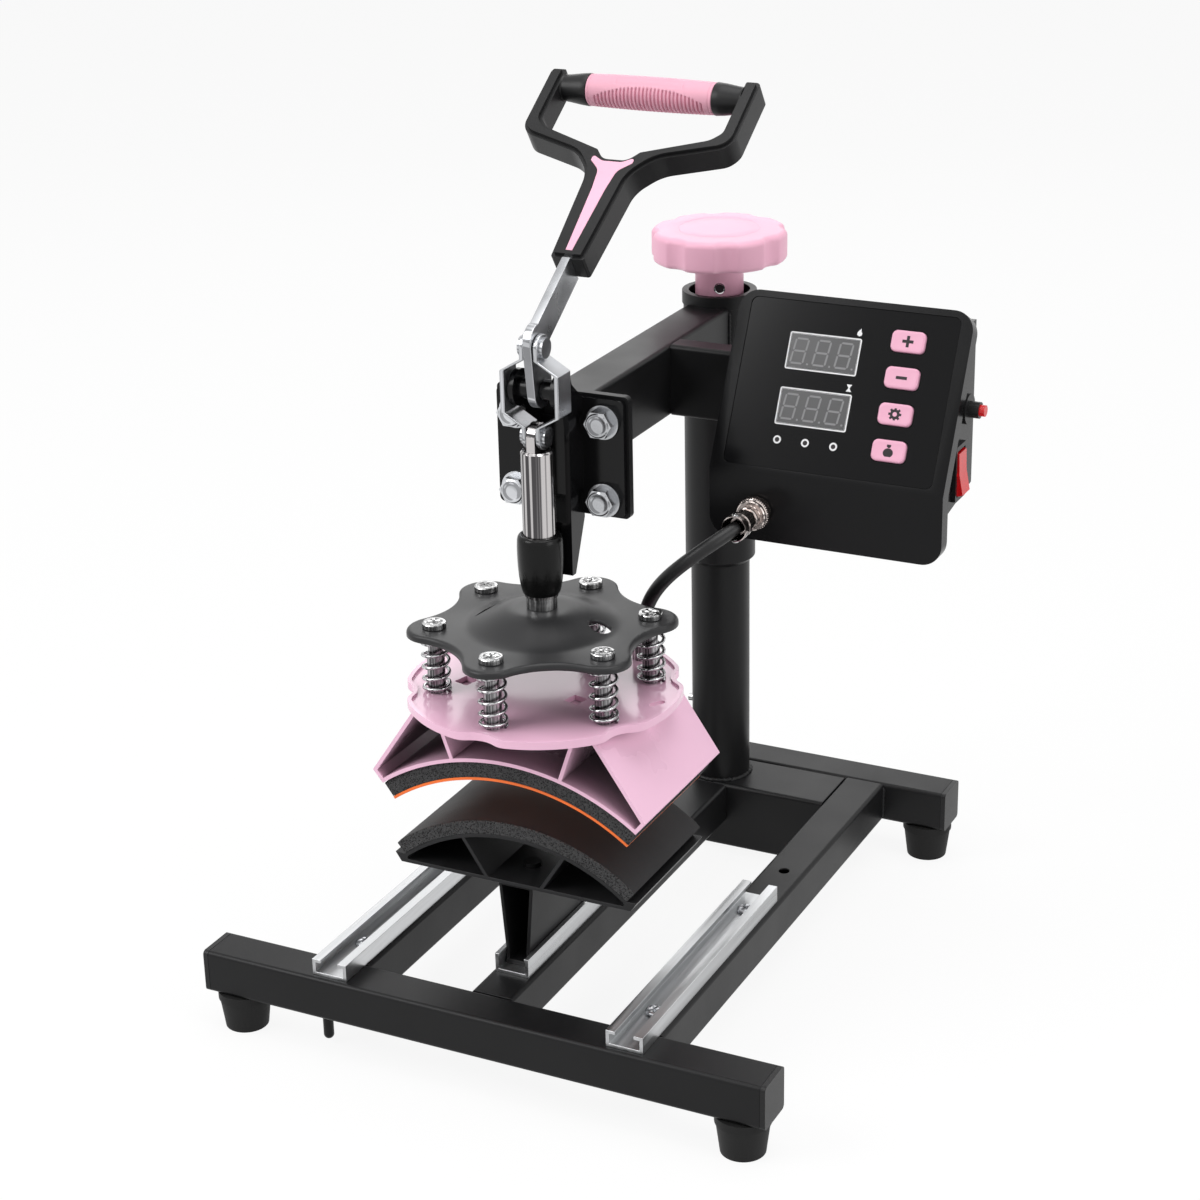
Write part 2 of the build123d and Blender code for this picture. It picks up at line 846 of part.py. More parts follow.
def star_outline(grow):
    """Six round lobes joined by hollow sides."""
    lobe = lobe_radius + grow
    waist = star_waist + grow
    half = math.radians(30)
    across = screw_circle * math.sin(half)
    along = screw_circle * math.cos(half)
    hollow = ((along - waist) ** 2 + across**2 - lobe**2) / (2 * (lobe + waist - along))
    centre = waist + hollow
    reach = math.hypot(centre - along, across)
    points = []
    for index in range(6):
        middle = 30 + 60 * index
        lobe_x, lobe_y = polar(screw_circle, middle)
        for side in (-1, 1):
            hollow_x, hollow_y = polar(centre, middle + side * 30)
            share = lobe / reach
            points.append((lobe_x + (hollow_x - lobe_x) * share, lobe_y + (hollow_y - lobe_y) * share))
    edges = []
    for index in range(6):
        middle = 30 + 60 * index
        start, end = points[2 * index], points[2 * index + 1]
        follow = points[(2 * index + 2) % 12]
        edges.append(ThreePointArc(start, polar(screw_circle + lobe, middle), end))
        edges.append(ThreePointArc(end, polar(waist, middle + 30), follow))
    return make_face(Wire(edges))


def star_plate():
    """Pressed plate with a domed middle and a rolled edge."""
    plate = extrude(Plane.XY.offset(star_under) * star_outline(0), amount=star_thickness)
    rim = star_outline(0) - star_outline(-star_thickness)
    skirt = extrude(Plane.XY.offset(star_top - star_skirt) * rim, amount=star_skirt)
    dome = Pos(0, 0, star_top + dome_height / 2) * Cone(dome_base_radius, dome_top_radius, dome_height)
    hollow = Pos(0, 0, star_under + dome_height / 2) * Cone(dome_base_radius, dome_top_radius, dome_height)
    body = plate + skirt + dome - hollow
    for angle in screw_angles:
        x, y = polar(screw_circle, angle)
        body -= disc_z(x, y, shoulder_radius + slide_clearance, star_under - 1, star_top + 1)
    body -= disc_z(0, 0, screw_radius + seat_gap, star_under, star_top + dome_height + 1)
    body -= disc_z(star_hole_x, star_hole_y, star_hole_radius, star_under - 1, star_top + dome_height)
    slit = Rot(0, 0, star_slit_angle) * SlotOverall(star_slit_length, star_slit_width)
    slit = Pos(star_slit_x, star_slit_y) * slit
    body -= extrude(Plane.XY.offset(star_under - 1) * slit, amount=star_thickness + dome_height)
    return Pos(0, plunger_y, 0) * body


def shoulder_screw(angle):
    """Shoulder screw from the star plate down into the disc, with its spacer sleeve."""
    x, y = polar(screw_circle, angle)
    y += plunger_y
    head_low = star_top + seat_gap / 2
    head = disc_z(x, y, shoulder_head_radius, head_low, head_low + shoulder_head_height)
    head = chamfer(head.edges().group_by(Axis.Z)[-1], 0.6)
    shank = disc_z(x, y, shoulder_radius, disc_under - 4, head_low)
    sleeve = disc_z(x, y, collar_sleeve_radius, disc_top, star_under - 12)
    return head + shank + sleeve


def platen_screws():
    return [shoulder_screw(angle) for angle in screw_angles]


def spring_point(turn):
    """Point and direction on the coil, closed up at both ends."""
    low = disc_top + seat_gap + spring_wire / 2
    high = star_under - seat_gap - spring_wire / 2
    rise = high - low
    closed = (spring_wire + 0.7) / rise
    open_pitch = (1 - 2 * closed) / (spring_turns - 2)
    if turn < 1:
        share, pitch = closed * turn, closed
    elif turn > spring_turns - 1:
        share, pitch = 1 - closed * (spring_turns - turn), closed
    else:
        share, pitch = closed + open_pitch * (turn - 1), open_pitch
    angle = 2 * math.pi * turn
    place = Vector(spring_radius * math.cos(angle), spring_radius * math.sin(angle), low + rise * share)
    around = 2 * math.pi * spring_radius
    heading = Vector(-math.sin(angle) * around, math.cos(angle) * around, rise * pitch)
    return place, heading.normalized()


def biarc(start, start_heading, end, end_heading):
    """Two arcs that leave and arrive along the given headings."""
    chord = end - start
    total = start_heading + end_heading
    lead = chord.dot(total)
    spread = 4 - total.dot(total)
    reach = (-lead + math.sqrt(lead * lead + spread * chord.dot(chord))) / spread
    first = start + start_heading * reach
    second = end - end_heading * reach
    middle = (first + second) * 0.5
    heading = (second - first).normalized()
    first = Edge.make_tangent_arc(start, start_heading, middle)
    return [first, Edge.make_tangent_arc(middle, heading, end)]


def coil_spring():
    """One compression spring round the origin, as a single unbroken tube."""
    steps = spring_turns * 4
    edges = []
    for index in range(steps):
        start, start_heading = spring_point(index / 4)
        end, end_heading = spring_point((index + 1) / 4)
        edges += biarc(start, start_heading, end, end_heading)
    start, heading = spring_point(0)
    profile = Plane(origin=start, z_dir=heading) * Circle(spring_wire / 2)
    return sweep(profile, path=Wire(edges))


def spring_self_gap():
    """Least gap between neighbouring turns, measured on points."""
    samples = [spring_point(index / 24)[0] for index in range(spring_turns * 24 + 1)]
    least = 1e9
    for index, place in enumerate(samples):
        for other in samples[index + 16:]:
            least = min(least, (place - other).length)
    return least - spring_wire


def springs():
    spring = coil_spring()
    coils = []
    for angle in screw_angles:
        x, y = polar(screw_circle, angle)
        coils.append(Pos(x, y + plunger_y, 0) * spring)
    return coils


def disc_outline(inset=0):
    """Round disc with a shallow notch outside each screw."""
    outline = Circle(disc_radius - inset)
    for angle in screw_angles:
        x, y = polar(disc_notch_reach + disc_notch_radius, angle)
        outline -= Pos(x, y) * Circle(disc_notch_radius + inset)
    return fillet(outline.vertices(), disc_notch_blend - inset)


def heat_disc():
    """Scalloped disc that the springs push on."""
    outline = disc_outline()
    body = extrude(Plane.XY.offset(disc_under) * outline, amount=disc_thickness + disc_lip_height)
    inner = disc_outline(disc_lip_width)
    body -= extrude(Plane.XY.offset(disc_top) * inner, amount=disc_lip_height + 1)
    for angle in screw_angles:
        x, y = polar(screw_circle, angle)
        body -= disc_z(x, y, shoulder_radius + pin_clearance, disc_under - 1, disc_top + 1)
    for x, y in ((24.6, -10.4), (-43.3, -11.5)):
        square = Rot(0, 0, disc_hole_angle) * Box(disc_hole_size, disc_hole_size, disc_thickness + 2)
        body -= Pos(x, y, disc_top - disc_thickness / 2) * square
    slot = Pos(disc_slot_x, disc_slot_y) * Rot(0, 0, 60) * SlotOverall(10, 4)
    body -= extrude(Plane.XY.offset(disc_under - 1) * slot, amount=disc_thickness + 2)
    return Pos(0, plunger_y, 0) * body


def arc_band(centre_z, outer, inner, half_angle):
    """Section of a curved layer between two radii."""
    left_out = (-outer * math.sin(half_angle), centre_z + outer * math.cos(half_angle))
    right_out = (outer * math.sin(half_angle), centre_z + outer * math.cos(half_angle))
    left_in = (-inner * math.sin(half_angle), centre_z + inner * math.cos(half_angle))
    right_in = (inner * math.sin(half_angle), centre_z + inner * math.cos(half_angle))
    edges = [
        ThreePointArc(left_out, (0, centre_z + outer), right_out),
        Line(right_out, right_in),
        ThreePointArc(right_in, (0, centre_z + inner), left_in),
        Line(left_in, left_out),
    ]
    return make_face(Wire(edges))


def web(x_low, z_low, x_high, z_high, thickness):
    """Straight web between two points of a section."""
    length = math.hypot(x_high - x_low, z_high - z_low)
    lean = math.degrees(math.atan2(z_high - z_low, x_high - x_low))
    strip = Rot(0, 0, lean) * Rectangle(length + 6, thickness)
    return Pos((x_low + x_high) / 2, (z_low + z_high) / 2) * strip


def housing_outline():
    """Outer section of the heater housing."""
    foot = housing_foot_half_width
    corner = housing_half_width
    top = housing_top_half_width
    arc_foot_z = heat_arc_z + math.sqrt(housing_arc_radius**2 - foot**2)
    edges = [
        ThreePointArc((-foot, arc_foot_z), (0, heat_arc_z + housing_arc_radius), (foot, arc_foot_z)),
        Line((foot, arc_foot_z), (corner, housing_corner_z)),
        Line((corner, housing_corner_z), (top, disc_under)),
        Line((top, disc_under), (-top, disc_under)),
        Line((-top, disc_under), (-corner, housing_corner_z)),
        Line((-corner, housing_corner_z), (-foot, arc_foot_z)),
    ]
    return make_face(Wire(edges))


def heater_housing():
    """Aluminium extrusion with an arched floor, sloping sides and two webs."""
    outer = housing_outline()
    section = outer - offset(outer, -housing_wall)
    web_foot_z = heat_arc_z + math.sqrt(housing_arc_radius**2 - housing_web_foot**2)
    for side in (-1, 1):
        foot_x, top_x = side * housing_web_foot, side * housing_web_top
        section += web(foot_x, web_foot_z, top_x, disc_under - 1, housing_wall) & outer
    body = along_y(section, plunger_y - housing_depth / 2, plunger_y + housing_depth / 2)
    for angle in screw_angles:
        x, y = polar(screw_circle, angle)
        if abs(y) < housing_depth / 2:
            body -= disc_z(x, y + plunger_y, shoulder_radius + 1.0, disc_under - 6, disc_under + 1)
    return body


def heat_layer(outer, inner):
    half = math.radians(heat_layer_half_angle)
    band = arc_band(heat_arc_z, outer, inner, half)
    return along_y(band, plunger_y - heat_layer_depth / 2, plunger_y + heat_layer_depth / 2)


def upper_foam():
    return heat_layer(housing_arc_radius - seat_gap, housing_arc_radius - foam_thickness + seat_gap / 2)


def heater_sheet():
    outer = housing_arc_radius - foam_thickness - seat_gap / 2
    return heat_layer(outer, sheet_arc_radius)


# Lower platen


def lower_outline():
    """Outer section of the lower platen."""
    half = math.radians(lower_foam_half_angle)
    arc_x = lower_plate_radius * math.sin(half)
    arc_z = lower_arc_z + lower_plate_radius * math.cos(half)
    lip = lower_half_width
    foot = lower_foot_half_width
    edges = [
        ThreePointArc((-arc_x, arc_z), (0, lower_arc_z + lower_plate_radius), (arc_x, arc_z)),
        Line((arc_x, arc_z), (lip, lower_lip_z)),
        Line((lip, lower_lip_z), (foot, lower_bottom)),
        Line((foot, lower_bottom), (-foot, lower_bottom)),
        Line((-foot, lower_bottom), (-lip, lower_lip_z)),
        Line((-lip, lower_lip_z), (-arc_x, arc_z)),
    ]
    return make_face(Wire(edges))


def lower_platen():
    """Aluminium extrusion with an arched top, a flat floor and two webs."""
    outer = lower_outline()
    inside = arc_band(lower_arc_z, lower_plate_radius - lower_wall, 1, math.radians(60))
    floor = Pos(0, lower_bottom + lower_wall + 50) * Rectangle(2 * lower_half_width, 100)
    reach = math.sqrt((lower_plate_radius - lower_wall) ** 2 - (lower_bottom + lower_wall - lower_arc_z) ** 2)
    inside = inside & floor & Pos(0, lower_bottom) * Rectangle(2 * (reach - lower_wall), 200)
    section = outer - inside
    web_top_z = lower_arc_z + math.sqrt(lower_plate_radius**2 - lower_web_top**2)
    for side in (-1, 1):
        foot_x, top_x = side * lower_web_foot, side * lower_web_top
        section += web(foot_x, lower_bottom, top_x, web_top_z, lower_wall) & outer
    return along_y(section, plunger_y - lower_depth / 2, plunger_y + lower_depth / 2)


def lower_foam():
    half = math.radians(lower_foam_half_angle)
    band = arc_band(lower_arc_z, lower_foam_radius, lower_plate_radius + seat_gap, half)
    return along_y(band, plunger_y - lower_depth / 2, plunger_y + lower_depth / 2)


def platen_stand():
    """Tapered channel, open at the front, that stands in the centre rail."""
    foot_z = tube_top + rail_wall
    front = plunger_y - lower_depth / 2 + 2
    back = front + stand_depth
    top = stand_top_half_width
    foot = stand_foot_half_width
    neck_z = tube_top + centre_rail_height
    right = [(foot, foot_z), (foot, neck_z), (top, lower_bottom)]
    left = [(-x, z) for x, z in reversed(right)]
    outer = make_face(Polyline(*right, *left, close=True))
    inner_foot = foot - stand_wall
    inner_top = top - stand_wall
    inner = make_face(
        Polyline(
            (-inner_foot, foot_z + stand_foot_height),
            (inner_foot, foot_z + stand_foot_height),
            (inner_foot, neck_z),
            (inner_top, lower_bottom - stand_wall),
            (-inner_top, lower_bottom - stand_wall),
            (-inner_foot, neck_z),
            close=True,
        )
    )
    flange = Pos(0, foot_z + stand_foot_height / 2) * Rectangle(2 * (foot + stand_flange), stand_foot_height)
    return along_y(outer + flange, front, back) - along_y(inner, front - 1, back - stand_wall)


def stand_screws():
    """Two screws that hold the platen to its stand."""
    front = plunger_y - lower_depth / 2 + 2
    screws = []
    for y in (front + stand_depth * 0.3, front + stand_depth * 0.7):
        seat = lower_bottom + lower_wall
        screws.append(disc_z(0, y, screw_head_radius, seat, seat + screw_head_height))
    return screws


# Control box


def face_point(rise, depth):
    """Y and Z on the sloping face, from its lower edge, and depth behind it."""
    tilt = math.radians(box_face_tilt)
    y = -box_front + rise * math.sin(tilt) + depth * math.cos(tilt)
    z = box_kink + rise * math.cos(tilt) - depth * math.sin(tilt)
    return y, z


def face_plane():
    """Plane of the sloping face, its normal towards the user."""
    tilt = math.radians(box_face_tilt)
    return Plane(
        origin=(box_centre_x, -box_front, box_kink),
        x_dir=(1, 0, 0),
        z_dir=(0, -math.cos(tilt), math.sin(tilt)),
    )


def on_face(profile, depth, thickness):
    """Extrude a profile drawn on the sloping face from depth behind it towards the user."""
    return extrude(face_plane().offset(-depth) * profile, amount=thickness)


def front_profile(inset, depth, trim_low, trim_high):
    """Side view of the bezel between two depths behind its front."""
    tilt = math.radians(box_face_tilt)
    kink_slide = math.tan(tilt / 2)
    return make_face(
        Polyline(
            (-box_front + inset, box_bottom + trim_low),
            (-box_front + inset, box_kink - inset * kink_slide),
            face_point(box_face_length - trim_high, inset),
            face_point(box_face_length - trim_high, depth),
            (-box_front + depth, box_kink - depth * kink_slide),
            (-box_front + depth, box_bottom + trim_low),
            close=True,
        )
    )


def panel_outline(grow):
    height = panel_high - panel_low
    outline = RectangleRounded(2 * (panel_half_width + grow), height + 2 * grow, 4)
    return Pos(0, (panel_low + panel_high) / 2) * outline


def key_places():
    return [(key_x, key_top - index * key_pitch) for index in range(4)]


def key_outline(grow):
    return RectangleRounded(key_width + 2 * grow, key_height + 2 * grow, key_corner + grow)


def control_bezel():
    """Moulded front with a sloping panel recess and a flat lower part."""
    body = along_x(front_profile(0, bezel_depth, 0, 0), box_left, box_right)
    top_edges = body.edges().filter_by(lambda edge: abs(edge.length - bezel_depth) < 0.01)
    body = fillet(top_edges, bezel_corner)
    body -= along_x(
        front_profile(bezel_wall, bezel_depth + 1, bezel_block, bezel_rim),
        box_left + bezel_rim,
        box_right - bezel_rim,
    )
    for x in (-board_boss_x, board_boss_x):
        for rise in (panel_low + board_boss_inset, panel_high - board_boss_inset):
            body += on_face(Pos(x, rise) * Circle(board_boss_radius), bezel_depth + board_gap, bezel_depth)
    body -= on_face(panel_outline(seat_gap), panel_recess, panel_recess + 1)
    for x, rise in key_places():
        body -= on_face(Pos(x, rise) * key_outline(loose_gap), bezel_depth, bezel_depth + 1)
    for rise in (window_upper, window_lower):
        hole = Rectangle(window_width - 4, window_height - 4)
        body -= on_face(Pos(window_x, rise) * hole, bezel_depth, bezel_depth)
    stem_radius = socket_radius - 1 + seat_gap
    front = -box_front
    body -= disc_y(box_centre_x + socket_x, socket_z, stem_radius, front - 1, front + bezel_depth + 1)
    return body


def label_panel():
    """Thin printed panel with openings for the keys, windows and lamps."""
    plate = on_face(panel_outline(0), panel_recess, panel_thickness)
    for x, rise in key_places():
        plate -= on_face(Pos(x, rise) * key_outline(loose_gap), panel_recess + 1, panel_recess + 2)
    for rise in (window_upper, window_lower):
        window = Pos(window_x, rise) * Rectangle(window_width - 2.0, window_height - 2.0)
        plate -= on_face(window, panel_recess + 1, panel_recess + 2)
    for index in (-1, 0, 1):
        spot = Pos(lamp_x + index * lamp_pitch, lamp_height) * Circle(lamp_radius + seat_gap)
        plate -= on_face(spot, panel_recess + 1, panel_recess + 2)
    return plate


def display_windows():
    outline = Rectangle(window_width - 2.0 - 2 * seat_gap, window_height - 2.0 - 2 * seat_gap)
    windows = []
    for rise in (window_upper, window_lower):
        windows.append(on_face(Pos(window_x, rise) * outline, panel_recess, window_thickness))
    return windows


def indicator_lamps():
    lamps = []
    for index in (-1, 0, 1):
        spot = Pos(lamp_x + index * lamp_pitch, lamp_height) * Circle(lamp_radius)
        lamps.append(on_face(spot, panel_recess, window_thickness))
    return lamps


def key(index):
    x, rise = key_places()[index]
    return on_face(Pos(x, rise) * key_outline(0), key_length - key_proud, key_length)


def shell_profile(inset):
    """Side view of the rear housing."""
    back = -housing_back - inset
    top_y, top_z = face_point(box_face_length - housing_side_inset - inset, bezel_depth)
    front = -box_front + bezel_depth
    tilt = math.radians(box_face_tilt)
    return make_face(
        Polyline(
            (front, housing_low_front + inset),
            (front, box_kink - bezel_depth * math.tan(tilt / 2)),
            (top_y, top_z),
            (back, top_z),
            (back, housing_low_back + inset),
            close=True,
        )
    )


def control_housing():
    """Rear shell of the control box."""
    body = along_x(shell_profile(0), shell_left, shell_right)
    body -= along_x(shell_profile(shell_wall), shell_left + shell_wall, shell_right - shell_wall)
    wall_inside = shell_right - shell_wall - 1
    body -= disc_x(-breaker_y, breaker_z, breaker_collar_radius, wall_inside, shell_right + 1)
    rocker_hole = Pos(-rocker_y, rocker_z) * Rectangle(rocker_width + 2, rocker_length + 2)
    body -= along_x(rocker_hole, shell_right - shell_wall - 1, shell_right + 1)
    gland_x = shell_left + mains_gland_x
    back = -housing_back
    body -= disc_y(gland_x, mains_gland_z, mains_gland_radius - 2, back - shell_wall - 1, back + 1)
    return body


def circuit_board():
    outline = Rectangle(2 * panel_half_width - 8, panel_high - panel_low - 8)
    outline = Pos(0, (panel_low + panel_high) / 2) * outline
    return on_face(outline, bezel_depth + board_gap + board_thickness, board_thickness)


def connector_socket():
    """Round heater socket on the flat lower part of the bezel."""
    x = box_centre_x + socket_x
    front = -box_front
    ring = disc_y(x, socket_z, socket_radius, front - socket_proud, front)
    stem = disc_y(x, socket_z, socket_radius - 1, front, front + bezel_depth - seat_gap)
    return ring + stem


def cable_plug():
    """Plug with its ring nut, barrel and cable clamp."""
    x = box_centre_x + socket_x
    nut_back = -box_front - 1.5
    nut_front = nut_back - plug_nut_length
    barrel_front = nut_front - plug_barrel_length
    clamp_front = barrel_front - plug_clamp_length
    nut = disc_y(x, socket_z, plug_nut_radius, nut_front, nut_back)
    nut -= disc_y(x, socket_z, socket_radius + seat_gap, -box_front - socket_proud - seat_gap, nut_back + 1)
    barrel = disc_y(x, socket_z, plug_barrel_radius, barrel_front, nut_front)
    clamp = disc_y(x, socket_z, plug_clamp_radius, clamp_front, barrel_front)
    flare = Cone(plug_mouth_radius, cable_radius + mouth_gap, plug_mouth_depth)
    mouth = Pos(x, clamp_front + plug_mouth_depth / 2, socket_z) * Rot(-90, 0, 0) * flare
    return nut + barrel + clamp - mouth


def breaker_body():
    """Overload breaker on the side of the box."""
    x = shell_right
    plate = disc_x(-breaker_y, breaker_z, breaker_body_radius, x, x + breaker_body_height)
    seat = x + breaker_body_height
    end = seat + breaker_collar_height
    collar = disc_x(-breaker_y, breaker_z, breaker_collar_radius, seat, end)
    bore = disc_x(-breaker_y, breaker_z, button_radius + slide_clearance, x + 1, end + 1)
    return plate + collar - bore


def breaker_button():
    end = shell_right + breaker_body_height + breaker_collar_height + button_proud
    start = shell_right + 1 + button_travel + loose_gap
    return disc_x(-breaker_y, breaker_z, button_radius, start, end)


def rocker_frame():
    """Frame of the power switch, set in the side of the box."""
    outer = Pos(-rocker_y, rocker_z) * RectangleRounded(rocker_frame_depth, rocker_frame_height, 1.5)
    hole = Pos(-rocker_y, rocker_z) * Rectangle(rocker_width + 0.8, rocker_length + 0.8)
    body = along_x(outer, shell_right, shell_right + rocker_frame_proud)
    well_outline = Rectangle(rocker_width + 2 - seat_gap, rocker_length + 2 - seat_gap)
    well = along_x(Pos(-rocker_y, rocker_z) * well_outline, shell_right - rocker_well_depth, shell_right)
    body += well
    body -= along_x(hole, shell_right - rocker_well_depth + 1, shell_right + rocker_frame_proud + 1)
    reach = rocker_width / 2 + rocker_pin_reach + seat_gap
    bore_radius = rocker_pin_radius + pin_clearance
    return body - disc_y(rocker_pivot_x, rocker_z, bore_radius, -rocker_y - reach, -rocker_y + reach)


def rocker_switch():
    """Rocker that tips on an axis along Y."""
    face_x = shell_right + rocker_frame_proud
    half = rocker_length / 2 - 0.4
    profile = make_face(
        Polyline(
            (face_x - 4.5, rocker_z - half + 2.0),
            (face_x + 0.6, rocker_z - half),
            (face_x + 3.4, rocker_z - half + 0.8),
            (face_x + 1.2, rocker_z),
            (face_x + 0.8, rocker_z + half - 0.6),
            (face_x - 2.0, rocker_z + half - 0.2),
            (face_x - 4.5, rocker_z + half - 2.0),
            close=True,
        )
    )
    body = along_y(profile, -rocker_y - rocker_width / 2, -rocker_y + rocker_width / 2)
    reach = rocker_width / 2 + rocker_pin_reach
    return body + disc_y(rocker_pivot_x, rocker_z, rocker_pin_radius, -rocker_y - reach, -rocker_y + reach)


def mains_gland():
    """Gland where the mains lead enters the back of the box."""
    x = shell_left + mains_gland_x
    flange = disc_y(x, mains_gland_z, mains_gland_radius, -housing_back, -housing_back + 4)
    back = -housing_back
    end = back + mains_gland_length
    body = disc_y(x, mains_gland_z, mains_gland_radius - 2.5, back - 6, end)
    bore = disc_y(x, mains_gland_z, mains_gland_radius - 4.5, back - 7, end + 1)
    return flange + body - bore


def box_bracket():
    """Short tube from the arm to the control box, with its flange."""
    centre_y = -housing_back - (bracket_tube_depth + bracket_flange_reach) / 2
    profile = square_tube(bracket_tube_depth, arm_height, bracket_tube_wall, tube_corner)
    section = Pos(centre_y, arm_top - arm_height / 2) * profile
    tube = along_x(section, arm_width / 2, shell_left - bracket_flange_thickness)
    flange_depth = bracket_tube_depth + bracket_flange_reach
    flange_outline = RectangleRounded(flange_depth, arm_height + 3, 3)
    flange = along_x(
        Pos(centre_y, arm_top - arm_height / 2) * flange_outline,
        shell_left - bracket_flange_thickness,
        shell_left,
    )
    return tube + flange


# Handle


def handle_plane():
    turn = math.radians(handle_angle)
    return Plane(origin=(0, bend_y, bend_z), x_dir=(1, 0, 0), z_dir=(0, -math.sin(turn), math.cos(turn)))


def rounded(points):
    """Closed outline from corners given as across, along and corner radius."""
    face = make_face(Polyline(*[(x, v) for x, v, radius in points], close=True))
    for x, v, radius in points:
        if radius > 0:
            corner = face.vertices().sort_by_distance((x, v, 0))[0]
            face = fillet(corner, radius)
    return face


def handle_outline():
    """Fork seen square on: a tapered stem, two wings and two side arms."""
    right = [
        (socket_half_width, socket_start, 1.5),
        (12.8, 114.0, 22.0),
        (24.0, 127.5, 20.0),
        (fork_half_width, 140.0, 12.0),
        (fork_half_width, fork_end, 3.0),
        (fork_inner_half_width, fork_end, 1.0),
        (fork_inner_half_width, 150.5, 7.0),
        (50.0, 144.5, 10.0),
        (22.0, 134.7, 20.0),
        (13.0, 131.5, 2.0),
        (7.5, 124.8, 7.0),
    ]
    left = [(-x, v, radius) for x, v, radius in reversed(right)]
    return rounded(right + left)


def handle_frame():
    """Moulded fork with the socket of the lever bar."""
    plane = handle_plane()
    outline = handle_outline()
    low = -handle_depth / 2 + handle_edge
    body = extrude(plane.offset(low) * outline, amount=handle_depth - 2 * handle_edge)
    inner = offset(outline, -handle_edge)
    for side in (-1, 1):
        face = plane.offset(side * (handle_depth / 2 - handle_edge))
        body += extrude(face * inner, amount=side * handle_edge)
    depth = lever_reach + lever_tang_length + seat_gap
    slot = Pos(0, depth / 2) * Rectangle(lever_thickness + 2 * weld_gap, depth)
    half = lever_tang_width / 2 + weld_gap
    body -= extrude(plane.offset(-half) * slot, amount=2 * half)
    body -= extrude(plane.offset(handle_depth / 2 - inlay_thickness) * inlay_outline(seat_gap), amount=5)
    core = Pos(0, bend_y, bend_z) * Rot(handle_angle, 0, 0) * Pos(0, grip_reach, 0)
    bar = core * Rot(0, 90, 0) * Cylinder(grip_end_radius, 2 * fork_inner_half_width + 2)
    return body + bar


def inlay_outline(grow):
    """T-shaped inlay that narrows down the stem."""
    half = [
        (1.9 + grow, 56.5 - grow, 0),
        (4.0 + grow, 101.0, 40.0),
        (5.6 + grow, 115.0, 8.0),
        (12.6 + grow, 121.5 - grow, 1.2),
        (12.6 + grow, 125.5 + grow, 1.2),
        (6.0 + grow, 121.6 + grow, 6.0),
    ]
    mirrored = [(-x, v, radius) for x, v, radius in reversed(half)]
    return rounded(half + mirrored)


def handle_inlay():
    plane = handle_plane()
    seat = plane.offset(handle_depth / 2 - inlay_thickness)
    return extrude(seat * inlay_outline(0), amount=inlay_thickness)


def grip_sleeve():
    """Soft sleeve on the cross bar of the fork."""
    place = Pos(0, bend_y, bend_z) * Rot(handle_angle, 0, 0) * Pos(0, grip_reach, 0) * Rot(0, 90, 0)
    sleeve = Cylinder(grip_radius, 2 * grip_half_length)
    sleeve = chamfer(sleeve.edges(), 1.0)
    sleeve -= Cylinder(grip_end_radius + pin_clearance, 2 * grip_half_length + 2)
    return place * sleeve


# Heater cable


def gland_place():
    x, y = polar(gland_circle, gland_angle)
    return x, y + plunger_y


def cable_gland():
    """Hollow gland on the rear of the disc, open at the top for the cable."""
    x, y = gland_place()
    body = disc_z(x, y, gland_outer_radius, disc_top, disc_top + gland_height)
    top = disc_top + gland_height
    body -= disc_z(x, y, cable_radius + gland_bore_gap, disc_top + gland_floor, top + 1)
    flare = Cone(cable_radius + gland_bore_gap, cable_radius + gland_mouth_gap, gland_mouth_depth)
    return body - Pos(x, y, top - gland_mouth_depth / 2) * flare


def cable_route():
    """Corners of the cable, from the mouth of the plug down into the gland."""
    x = box_centre_x + socket_x
    mouth_y = -box_front - 1.5 - plug_nut_length - plug_barrel_length - plug_clamp_length
    end_x, end_y = gland_place()
    top = disc_top + gland_height
    return [
        (x, mouth_y + 4.3, socket_z - 0.2),
        (x - 6.0, mouth_y - 6.7, socket_z - 4.5),
        (x - 15.1, mouth_y - 14.0, socket_z - 11.3),
        (x - 25.4, mouth_y - 16.1, socket_z - 20.0),
        (x - 35.0, mouth_y - 14.9, socket_z - 29.4),
        (end_x + 10.05, end_y - 5.5, top + 29.5),
        (end_x + 3.55, end_y - 2.2, top + 18.0),
        (end_x, end_y, top + 5.0),
        (end_x, end_y, top - 6.0),
    ]


def cable_radii(points):
    """Radius of each corner, as large as its two runs allow."""
    radii = []
    for before, corner, after in zip(points, points[1:], points[2:]):
        run_in = Vector(*corner) - Vector(*before)
        run_out = Vector(*after) - Vector(*corner)
        turn = math.radians(run_in.get_angle(run_out))
        radii.append(0.45 * min(run_in.length, run_out.length) / math.tan(turn / 2))
    return radii


def heater_cable():
    points = cable_route()
    radii = cable_radii(points)
    print("cable radii", [round(radius, 1) for radius in radii])
    path = FilletPolyline(*points, radius=radii)
    heading = Vector(*points[1]) - Vector(*points[0])
    profile = Plane(origin=points[0], z_dir=heading) * Circle(cable_radius)
    cable = sweep(profile, path=path)
    full = math.pi * cable_radius**2 * path.length
    print("cable length", round(path.length, 1), "volume share", round(cable.volume / full, 4))
    return cable


